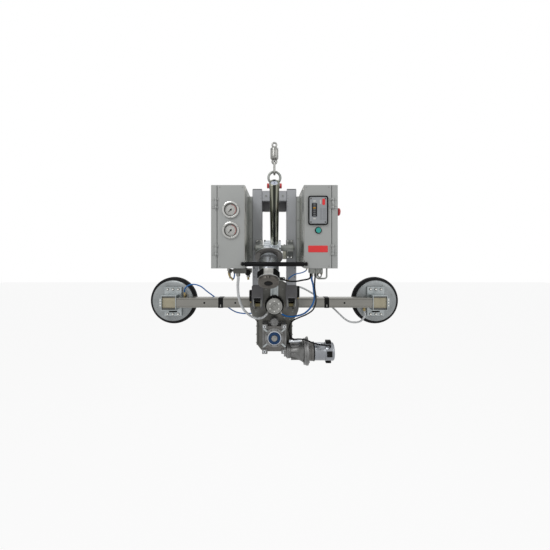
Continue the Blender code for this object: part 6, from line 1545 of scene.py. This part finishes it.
    def bell(self) -> None:
        """Make the tapered gear stage with its columns and side cylinder."""
        place = facing((0.0835, *self.drive), (1, 0, 0))
        parts = [
            # Bell and columns in the darker cast copy: painted shade.
            lathe([(0, 0.0875), (0.059, 0.0875), (0.06, 0.0865), (0.06, 0.0805), (0.056, 0.076), (0.048, 0.06),
                (0.043, 0.04), (0.0385, 0.02), (0.036, 0.012), (0.039, 0.01), (0.039, 0.0012), (0.038, 0.0),
                (0, 0.0)], place, SHADED_BELL_CAST, 96),
            Repeat(Unit.PRISM, (0.0068, 0.0, 0.064), 6, radius=0.042, sides=20).make(raised(place, 0.0135),
                SHADED_BELL_CAST),
            bolts(6, 0.052, 0.0048, 0.004, raised(turned(place, 30), 0.0745), DARK_STEEL)]
        side = facing((0.0865, self.drive[0], self.drive[1] + 0.06), (1, 0, 0))
        parts += [
            # Side cylinder in the lightened cast: partly painted highlight.
            lathe([(0, 0.0685), (0.006, 0.0685), (0.0065, 0.066), (0.0095, 0.0655), (0.0105, 0.064), (0.0105, 0.015),
                (0.0098, 0.014), (0.0098, 0.006), (0.0105, 0.005), (0.0105, 0.001), (0.0095, 0.0), (0, 0.0)], side,
                PALE_CAST_AND_HIGHLIGHT, 48),
            box((0.094, 0.148), (self.drive[0] - 0.006, self.drive[0] + 0.006),
                (self.drive[1] + 0.034, self.drive[1] + 0.056), CAST, 0.002)]
        self.put("gear_stage", parts, Body.TILT_FRAME, "cast_aluminium", "gear_bell")

    def motor(self) -> None:
        """Make the rotation motor: flange, adapter, joint ring and can."""
        y, z = self.drive
        place = facing((0.0, y, z), (1, 0, 0))
        parts = [
            lathe([(0, 0.198), (0.0765, 0.198), (0.0785, 0.1968), (0.079, 0.195), (0.079, 0.185), (0.078, 0.1835),
                (0.0755, 0.183), (0.075, 0.1716), (0, 0.1716)], place, CAST, 96),
            lathe([(0, 0.228), (0.053, 0.228), (0.054, 0.227), (0.054, 0.215), (0.053, 0.214), (0.053, 0.212),
                (0.054, 0.211), (0.054, 0.1985), (0, 0.1985)], place, DARK_FLANGE, 96),
            disc(0.0555, 0.233, 0.2275, 0.0008, place, BLACK_PLASTIC, 96),
            disc(0.0508, 0.2962, 0.2325, 0.0015, place, MOTOR_PAINT, 96),
            bolts(4, 0.066, 0.0055, 0.0045, raised(place, 0.1978), DARK_STEEL, 6, 45),
            bolts(4, 0.049, 0.003, 0.0014, raised(place, 0.2276), STEEL, 12, 0),
            bolts(4, 0.066, 0.006, 0.005, facing((0.172, y, z), (-1, 0, 0)), DARK_STEEL, 6, 45),
            sweep(smooth_route([(0.186, y, z + 0.074), (0.186, y - 0.004, z + 0.085), (0.193, y - 0.004, z + 0.087),
                (0.196, y, z + 0.075)], 4), 0.0025, STEEL, 12)]
        self.put("rotation_drive_motor", parts, Body.TILT_FRAME, "steel", "rotation_motor")
        start = 0.2963
        cap = [
            lathe([(0, 0.348), (0.03, 0.349), (0.044, 0.3488), (0.049, 0.347), (0.052, 0.3435), (0.053, 0.34),
                (0.053, start + 0.0012), (0.052, start), (0, start)], place, MOTOR_PAINT, 96),
            disc(0.016, 0.349, 0.347, 0.0006, place, BLACK_PLASTIC, 48),
            bolts(2, 0.04, 0.0042, 0.0008, raised(place, 0.3482), DARK_STEEL, 12),
            box((start + 0.005, 0.333), (y - 0.056, y - 0.04), (z - 0.017, z + 0.017), BLACK_PLASTIC, 0.004)]
        for sign in SIDES:
            cap.append(box((start + 0.0045, 0.3325), (y - 0.017, y + 0.017), (z + sign * 0.044, z + sign * 0.0648),
                BLACK_PLASTIC, 0.0035))
        self.put("motor_end_cap", cap, Body.TILT_FRAME, "steel", "rotation_motor_cap")

    def build(self) -> None:
        """Make the tilt frame."""
        self.dress(PLATE_ZINC, "carrier_plate")
        self.dress(BRACKET_ZINC, "rod_clevis")
        self.plate_dress()
        self.union()
        self.gearbox()
        self.shaft_end()
        self.bell()
        self.motor()


@dataclass
class Rotor(Assembly):
    """Ring gear, cross beam, end sockets and suction pads."""

    axis_height: float = -0.93
    beam: Pair = (0.18, 0.24)
    pad_x: float = 0.665
    channel_x: float = 0.658
    socket_half: float = 0.0475
    channel_front: float = 0.2403
    disc_front: float = 0.255
    disc_radius: float = 0.133
    lip_radius: float = 0.1535
    straps: Pair = (-0.338, 0.3295)
    port: Point = (0.084, 0.232, 0.038)

    def gear_dress(self) -> None:
        """Add the bolts of the hub and cover the holes of the beam with black discs as painted shade."""
        z = self.axis_height
        parts = [
            bolts(6, 0.048, 0.005, 0.0035, facing_front(0, 0.156, z), DARK_STEEL, 6, 30),
            bolts(4, 0.018, 0.0055, 0.004, facing((0, self.beam[1], z), (0, 1, 0)), ZINC, 6, 45)]
        # Black discs over the beam's holes: painted shade.
        for x in (-0.441, -0.246, 0.246, 0.441):
            parts.append(disc(0.006, 0.0006, -0.001, 0.0002, facing_front(x, self.beam[0], z), BLACK_PLASTIC, 32))
        self.put("hub_screws", parts, Body.ROTOR, "steel")
        self.dress(STEEL, "ring_gear")

    def strap(self, middle: float) -> list[Piece]:
        """Return a black strap round the beam and its small bright buckle.

        Args:
            middle: Their place along the beam.

        Returns:
            The two parts.
        """
        centre = ((self.beam[0] + self.beam[1]) / 2, self.axis_height)
        place = Matrix(((0, 0, 1, middle), (1, 0, 0, 0), (0, 1, 0, 0), (0, 0, 0, 1)))
        band = plate([rounded(centre, 0.064, 0.064, 0.003), rounded(centre, 0.0604, 0.0604, 0.0006)], 0.03, place,
            BLACK_PLASTIC, 0.0006)
        buckle = box((middle - 0.003, middle + 0.003), (self.beam[0] - 0.003, self.beam[0] - 0.0012),
            (self.axis_height - 0.024, self.axis_height - 0.01), STEEL, 0.0005)
        return [band, buckle]

    def bracket_dress(self, sign: int) -> None:
        """Add cap plate, dark bands of painted shade, bolts ringed by painted shadow and a black slot of painted
        shade to an end socket.

        Args:
            sign: Side, -1 is the left.
        """
        x, z = sign * self.pad_x, self.axis_height
        inner = self.socket_half - 0.0055
        parts = [
            box((x - inner, x + inner), (0.1845, 0.1868), (z - inner + 0.01, z + inner - 0.01), CAP_PLATE, 0.0006),
            # Dark bands across the top and bottom of the recess: painted shade.
            box((x - inner, x + inner), (0.18, 0.1865), (z + inner - 0.0095, z + inner), DARK_STEEL, 0.0006),
            box((x - inner, x + inner), (0.18, 0.1865), (z - inner, z - inner + 0.0095), DARK_STEEL, 0.0006)]
        channel = sign * self.channel_x
        for height in (0.078, -0.083):
            place = facing_front(channel, self.channel_front, z + height)
            parts += [
                # Dark rings under the bright bolts: painted shadow.
                bolt_row(3, (0.034, 0, 0), 0.009, 0.0012, place, DARK_STEEL, 24),
                bolt_row(3, (0.034, 0, 0), 0.0062, 0.006, place, CHROME)]
        parts += [
            # Black box: painted shade of the slot below the socket.
            box((channel - 0.026, channel + 0.026), (self.channel_front - 0.0006, self.channel_front + 0.001),
                (z - 0.0715, z - 0.0625), BLACK_PLASTIC, 0.0003),
            bolt_row(3, (0, 0.017, 0), 0.005, 0.0045,
                facing_front(sign * (self.pad_x + self.socket_half + 0.008), 0.19, z), CHROME),
            bolt_row(2, (0, 0.04, 0), 0.005, 0.004,
                facing((sign * (self.pad_x - self.socket_half), 0.208, z), (-sign, 0, 0)), ZINC)]
        self.put("bracket_details_" + side_word(sign), parts, Body.ROTOR, "zinc")

    def pad(self, sign: int) -> None:
        """Make a pad: disc with its port, and the sealing lip.

        Args:
            sign: Side, -1 is the left.
        """
        side = side_word(sign)
        x, z = sign * self.pad_x, self.axis_height
        radius, front = self.disc_radius, self.disc_front
        place = facing_front(x, front + 0.012, z)
        parts = [
            lathe([(0, 0.012), (0.06, 0.012), (0.108, 0.0119), (0.118, 0.0114), (0.126, 0.0098), (0.1315, 0.008),
                (radius, 0.0066), (radius, 0.0), (0.11, 0.0), (0, 0.0)], place, DISC_METAL, 128),
            bolts(8, 0.11, 0.003, 0.0016, raised(place, 0.0118), STEEL, 16, 22.5),
            disc(0.01, 0.0015, 0.0, 0.0004, facing((x, front + 0.012, z), (0, 1, 0)), BLACK_PLASTIC, 40)]
        offset, y, height = self.port
        px, pz = sign * (self.pad_x - offset), z - sign * height
        parts += [
            disc(0.0065, self.disc_front - y + 0.0005, 0.0, 0.0008, facing((px, y, pz), (0, 1, 0)), BRASS, 32),
            bolt(0.009, 0.008, facing((px, self.disc_front - 0.008, pz), (0, 1, 0)), BRASS),
            disc(0.007, 0.007, -0.007, 0.0012, facing((px, y, pz), (0, 0, -sign)), BRASS, 32)]
        self.put("suction_plate_" + side, parts, Body.ROTOR, "steel", "suction_disc_" + side)
        outer = self.lip_radius
        back = facing_front(x, front + 0.0503, z)
        profile = [(0.1372, 0.038), (outer - 0.006, 0.0345), (outer - 0.002, 0.03), (outer, 0.024), (outer, 0.006),
            (outer - 0.001, 0.002), (outer - 0.004, 0.0)]
        for groove in (0.144, 0.137, 0.13):
            profile += [(groove + 0.0022, 0.0), (groove + 0.0012, 0.0024), (groove - 0.0012, 0.0024),
                (groove - 0.0022, 0.0)]
        profile += [(0.1235, 0.0), (0.1212, 0.003), (0.121, 0.01), (0.121, 0.0378), (0.134, 0.0378), (0.1342, 0.038)]
        lip = lathe(profile, back, RUBBER, 128)
        self.put("sealing_lip_" + side, [lip], Body.ROTOR, "black_rubber", "rubber_lip_" + side)

    def build(self) -> None:
        """Make the rotor."""
        self.dress(BEAM_METAL, "cross_beam")
        self.dress(BRACKET_ZINC, "pad_bracket_left", "pad_bracket_right")
        self.gear_dress()
        self.put("beam_straps", [part for middle in self.straps for part in self.strap(middle)], Body.ROTOR,
            "black_plastic")
        for sign in SIDES:
            self.bracket_dress(sign)
            self.pad(sign)


@dataclass(frozen=True)
class Line:
    """A hose or cable with its two end fittings."""

    name: str
    route: tuple[Point, ...]
    diameter: float
    finish: Finish
    slot: str
    stiffness: str
    bodies: tuple[Body, Body]
    turn_start: Point | None = None
    turn_end: Point | None = None
    fitting: Finish | None = None


@dataclass
class Lines(Assembly):
    """Vacuum hoses and cables, on the routes that the frame gives them."""

    lead: float = 1.0
    nut_length: float = 0.011
    nut_share: float = 0.72
    lines: tuple[Line, ...] = (
        Line("left_pad_hose", ((-0.581, 0.232, -0.8845), (-0.581, 0.2319, -0.872), (-0.5785, 0.226, -0.856),
            (-0.57, 0.218, -0.84), (-0.545, 0.206, -0.822), (-0.5096, 0.2, -0.8156), (-0.4684, 0.208, -0.83),
            (-0.4351, 0.23, -0.8636), (-0.3845, 0.252, -0.9078), (-0.3428, 0.256, -0.9437), (-0.2967, 0.25, -0.9746),
            (-0.2485, 0.225, -0.9955), (-0.1956, 0.207, -1.0016), (-0.14, 0.204, -0.999), (-0.098, 0.208, -0.992),
            (-0.0725, 0.21, -0.979), (-0.072, 0.21, -0.9608)), 0.008, BLUE_HOSE, "blue_hose", "medium",
            (Body.ROTOR, Body.ROTOR), fitting=BRASS),
        Line("right_pad_hose", ((0.581, 0.232, -0.9755), (0.581, 0.2319, -0.988), (0.5835, 0.228, -1.004),
            (0.575, 0.218, -1.0285), (0.5492, 0.207, -1.051), (0.5142, 0.204, -1.0583), (0.4792, 0.208, -1.0539),
            (0.4495, 0.222, -1.0375), (0.4211, 0.242, -1.0116), (0.3784, 0.256, -0.9715), (0.331, 0.259, -0.9372),
            (0.2886, 0.254, -0.9071), (0.228, 0.228, -0.866), (0.17, 0.21, -0.836), (0.12, 0.206, -0.828),
            (0.086, 0.208, -0.842), (0.072, 0.21, -0.87), (0.07, 0.21, -0.8992)), 0.012, CLEAR_HOSE, "clear_hose",
            "medium", (Body.ROTOR, Body.ROTOR), fitting=BRASS),
        Line("union_hose", ((-0.1792, -0.22, -0.7124), (-0.1792, -0.2195, -0.724), (-0.1804, -0.208, -0.742),
            (-0.187, -0.17, -0.775), (-0.191, -0.13, -0.815), (-0.1916, -0.09, -0.852), (-0.1871, -0.045, -0.893),
            (-0.1745, 0.0, -0.9353), (-0.1549, 0.035, -0.9672), (-0.1296, 0.062, -0.9918), (-0.0982, 0.08, -1.004),
            (-0.0672, 0.088, -1.0), (-0.0434, 0.08, -0.977), (-0.0329, 0.08, -0.9656)), 0.014, CLEAR_HOSE,
            "clear_hose", "medium", (Body.CHASSIS, Body.TILT_FRAME), (-0.1792, -0.2, -0.73), (-0.07, 0.06, -0.96),
            STEEL),
        Line("union_feed", ((0.1856, -0.22, -0.7124), (0.1856, -0.2195, -0.724), (0.1871, -0.2, -0.744),
            (0.1998, -0.16, -0.7783), (0.2101, -0.11, -0.8235), (0.2167, -0.08, -0.8544), (0.2152, -0.05, -0.8862),
            (0.2068, -0.02, -0.9161), (0.191, 0.01, -0.9441), (0.1706, 0.035, -0.9666), (0.1342, 0.06, -0.9849),
            (0.094, 0.078, -0.993), (0.064, 0.084, -0.989), (0.0434, 0.08, -0.977), (0.0329, 0.08, -0.9656)), 0.01,
            BLUE_HOSE, "blue_hose", "medium", (Body.CHASSIS, Body.TILT_FRAME), (0.1856, -0.2, -0.73),
            (0.07, 0.06, -0.96), STEEL),
        Line("drive_cable", ((0.201, -0.23, -0.7124), (0.201, -0.2292, -0.724), (0.201, -0.212, -0.749),
            (0.206, -0.17, -0.79), (0.22, -0.11, -0.842), (0.228, -0.05, -0.89), (0.218, 0.0, -0.938),
            (0.185, 0.04, -0.973), (0.14, 0.072, -1.0), (0.113, 0.086, -1.018), (0.095, 0.092, -1.042),
            (0.088, 0.092, -1.072), (0.09, 0.088, -1.098), (0.098, 0.07, -1.112), (0.113, 0.04, -1.116),
            (0.14, 0.005, -1.105), (0.175, -0.02, -1.102), (0.215, -0.022, -1.118), (0.255, -0.024, -1.128),
            (0.285, -0.019, -1.133), (0.306, -0.006, -1.138), (0.319, 0.008, -1.141), (0.322, 0.0166, -1.1466),
            (0.322, 0.0272, -1.1572)), 0.008, CABLE_SKIN, "black_rubber", "limp", (Body.CHASSIS, Body.TILT_FRAME),
            (0.201, -0.21, -0.74), (0.16, 0.06, -0.99), BLACK_PLASTIC),
        Line("tilt_cable", ((0.0268, -0.22, -0.74), (0.038, -0.2197, -0.7404), (0.053, -0.215, -0.747),
            (0.075, -0.208, -0.753), (0.1069, -0.204, -0.754), (0.14, -0.206, -0.748), (0.17, -0.22, -0.74),
            (0.178, -0.2349, -0.726), (0.178, -0.235, -0.7124)), 0.008, CABLE_SKIN, "black_rubber", "limp",
            (Body.ACTUATOR, Body.CHASSIS), (0.04, -0.22, -0.74), (0.165, -0.22, -0.74), BLACK_PLASTIC),
        Line("small_line", ((0.0769, -0.005, -0.775), (0.08, -0.015, -0.76), (0.0955, -0.035, -0.7433),
            (0.1168, -0.06, -0.729), (0.1454, -0.09, -0.72), (0.164, -0.098, -0.711), (0.1735, -0.1, -0.7),
            (0.174, -0.1, -0.6861)), 0.006, BLUE_HOSE, "blue_hose", "medium", (Body.CHASSIS, Body.CHASSIS),
            fitting=BRASS))

    def centre_line(self, line: Line) -> list[Vector]:
        """Return a line's smooth route, with a straight lead at either end.

        Args:
            line: The line.

        Returns:
            Points about half a diameter apart.
        """
        lead = self.lead * line.diameter
        fine = smooth_route(line.route, 8)
        first, last = fine[0], fine[-1]
        kept = [point for point in fine if min((point - first).length, (point - last).length) > 1.5 * lead]
        start = first + lead * (Vector(line.route[1]) - first).normalized()
        end = last + lead * (Vector(line.route[-2]) - last).normalized()
        return [first, start] + kept + [end, last]

    def nut(self, line: Line, end: Vector, inward: Vector, body: Body, tag: str) -> None:
        """Put a hexagonal nut with a collar on a line's end.

        Args:
            line: The line.
            end: The line's end.
            inward: Direction from the end along the line.
            body: The body that the end is fastened to.
            tag: Word for the end.
        """
        place = facing(end, inward)
        radius = self.nut_share * line.diameter
        nut = bolt(radius, self.nut_length, place, line.fitting)
        collar = lathe([(0, self.nut_length * 1.35), (0.62 * line.diameter, self.nut_length * 1.35),
            (0.68 * line.diameter, self.nut_length * 1.1), (0.68 * line.diameter, self.nut_length * 0.9),
            (0, self.nut_length * 0.9)], place, line.fitting, 24)
        slot = "black_plastic" if line.fitting is BLACK_PLASTIC else "steel"
        self.put(line.name + "_" + tag + "_fitting", [nut, collar], body, slot)

    def build(self) -> None:
        for line in self.lines:
            path = self.centre_line(line)
            piece = join(line.name + "_tube", [sweep(path, line.diameter / 2, line.finish, 18)])
            first, second = line.bodies
            if first is second:
                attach(piece, first.value)
            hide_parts(line.name)
            if first is not second:
                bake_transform(piece)
            self.made.append(piece)
            self.nut(line, path[0], path[1] - path[0], first, "near")
            self.nut(line, path[-1], path[-2] - path[-1], second, "far")


@dataclass
class Studio:
    """Floor, white surroundings, lamps and the camera at the photograph's viewing angle."""

    floor_height: float = -2.4
    floor_size: float = 30.0
    floor_grey: float = 0.82
    eye: Point = (0.0, -1.7, -0.597)
    middle: Point = (0.0, 0.0, -0.65)
    focal_pixels: float = 299.0
    picture_pixels: float = 550.0
    sensor_width: float = 36.0
    shift: Pair = (0.0011, -0.0455)
    world_light: float = 0.52
    shadow_share: float = 0.1
    lamps: tuple[tuple[str, Point, float, float], ...] = (("key", (-1.3, -2.3, 1.5), 35.0, 1.3),
        ("fill", (2.2, -1.8, 0.2), 12.0, 1.6), ("back", (0.6, 2.2, 1.4), 18.0, 1.4))

    def seen(self, tree: Tree) -> Socket:
        """Add the value that is 1 for camera, glossy and transmission rays.

        Args:
            tree: A node tree.

        Returns:
            The value's socket.
        """
        rays = add_node(tree, "ShaderNodeLightPath", {}).outputs
        either = add_node(tree, "ShaderNodeMath", {0: rays["Is Camera Ray"], 1: rays["Is Glossy Ray"]},
            operation="MAXIMUM")
        return add_node(tree, "ShaderNodeMath", {0: either.outputs[0], 1: rays["Is Transmission Ray"]},
            operation="MAXIMUM").outputs[0]

    def swap(self, tree: Tree, share: Socket, usual: Socket, white: Socket, end: str) -> None:
        """Show a white shader in the place of the usual one.

        Args:
            tree: The node tree.
            share: Share of the white one.
            usual: The usual shader's socket.
            white: The white shader's socket.
            end: Name of the output node.
        """
        mix = add_node(tree, "ShaderNodeMixShader", {"Fac": share, 1: usual, 2: white})
        fill(tree, tree.nodes[end], {"Surface": mix.outputs[0]})

    def surroundings(self) -> None:
        """Light the scene evenly and show white behind it."""
        world = bpy.data.worlds.new("studio")
        bpy.context.scene.world = world
        world.use_nodes = True
        tree = world.node_tree
        colour = (1.0, 1.0, 1.0, 1.0)
        light = tree.nodes["Background"]
        fill(tree, light, {"Color": colour, "Strength": self.world_light})
        white = add_node(tree, "ShaderNodeBackground", {"Color": colour, "Strength": 1.0})
        self.swap(tree, self.seen(tree), light.outputs[0], white.outputs[0], "World Output")

    def floor(self) -> None:
        """Lay a pale floor that is white to the eye and keeps the object's shadow."""
        mesh = bmesh.new()
        bmesh.ops.create_grid(mesh, x_segments=1, y_segments=1, size=self.floor_size / 2)
        bmesh.ops.translate(mesh, vec=(0, 0, self.floor_height), verts=mesh.verts)
        data = bpy.data.meshes.new("floor")
        mesh.to_mesh(data)
        mesh.free()
        material = bpy.data.materials.new("floor_look")
        material.use_nodes = True
        tree = material.node_tree
        shader = tree.nodes["Principled BSDF"]
        grey = self.floor_grey
        fill(tree, shader, {"Base Color": (grey, grey, grey, 1.0), "Roughness": 1.0, "Specular IOR Level": 0.0})
        white = add_node(tree, "ShaderNodeEmission", {})
        share = add_node(tree, "ShaderNodeMath", {0: self.seen(tree), 1: 1.0 - self.shadow_share},
            operation="MULTIPLY")
        self.swap(tree, share.outputs[0], shader.outputs[0], white.outputs[0], "Material Output")
        data.materials.append(material)
        linked("floor", data)

    def light(self) -> None:
        """Hang the soft lamps, each turned to the object's middle."""
        for name, place, power, size in self.lamps:
            data = bpy.data.lights.new(name, "AREA")
            data.energy = power
            data.shape = "DISK"
            data.size = size
            lamp = linked(name, data)
            lamp.location = place
            lamp.rotation_euler = (Vector(self.middle) - Vector(place)).to_track_quat("-Z", "Y").to_euler()

    def camera(self) -> None:
        """Set the level camera up in front of the object."""
        data = bpy.data.cameras.new("camera")
        data.sensor_width = self.sensor_width
        data.lens = self.focal_pixels / self.picture_pixels * data.sensor_width
        data.shift_x, data.shift_y = self.shift
        camera = linked("camera", data)
        camera.location = self.eye
        camera.rotation_euler = (math.pi / 2, 0.0, 0.0)
        bpy.context.scene.camera = camera

    def build(self) -> None:
        """Set the whole studio up."""
        bpy.context.scene.view_settings.view_transform = "Standard"
        self.surroundings()
        self.floor()
        self.light()
        self.camera()


def main() -> None:
    """Build the lifter's looks assembly by assembly."""
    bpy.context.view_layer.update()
    Studio().build()
    assemblies = [cls()
        for cls in (HoistGear, Frame, ControlCases, Underside, TiltActuator, TiltFrame, Rotor, Lines)]
    for assembly in assemblies:
        assembly.build()
        assembly.report()


if __name__ == "__main__":
    logging.basicConfig(level=logging.INFO, format="%(name)s: %(message)s")
    main()
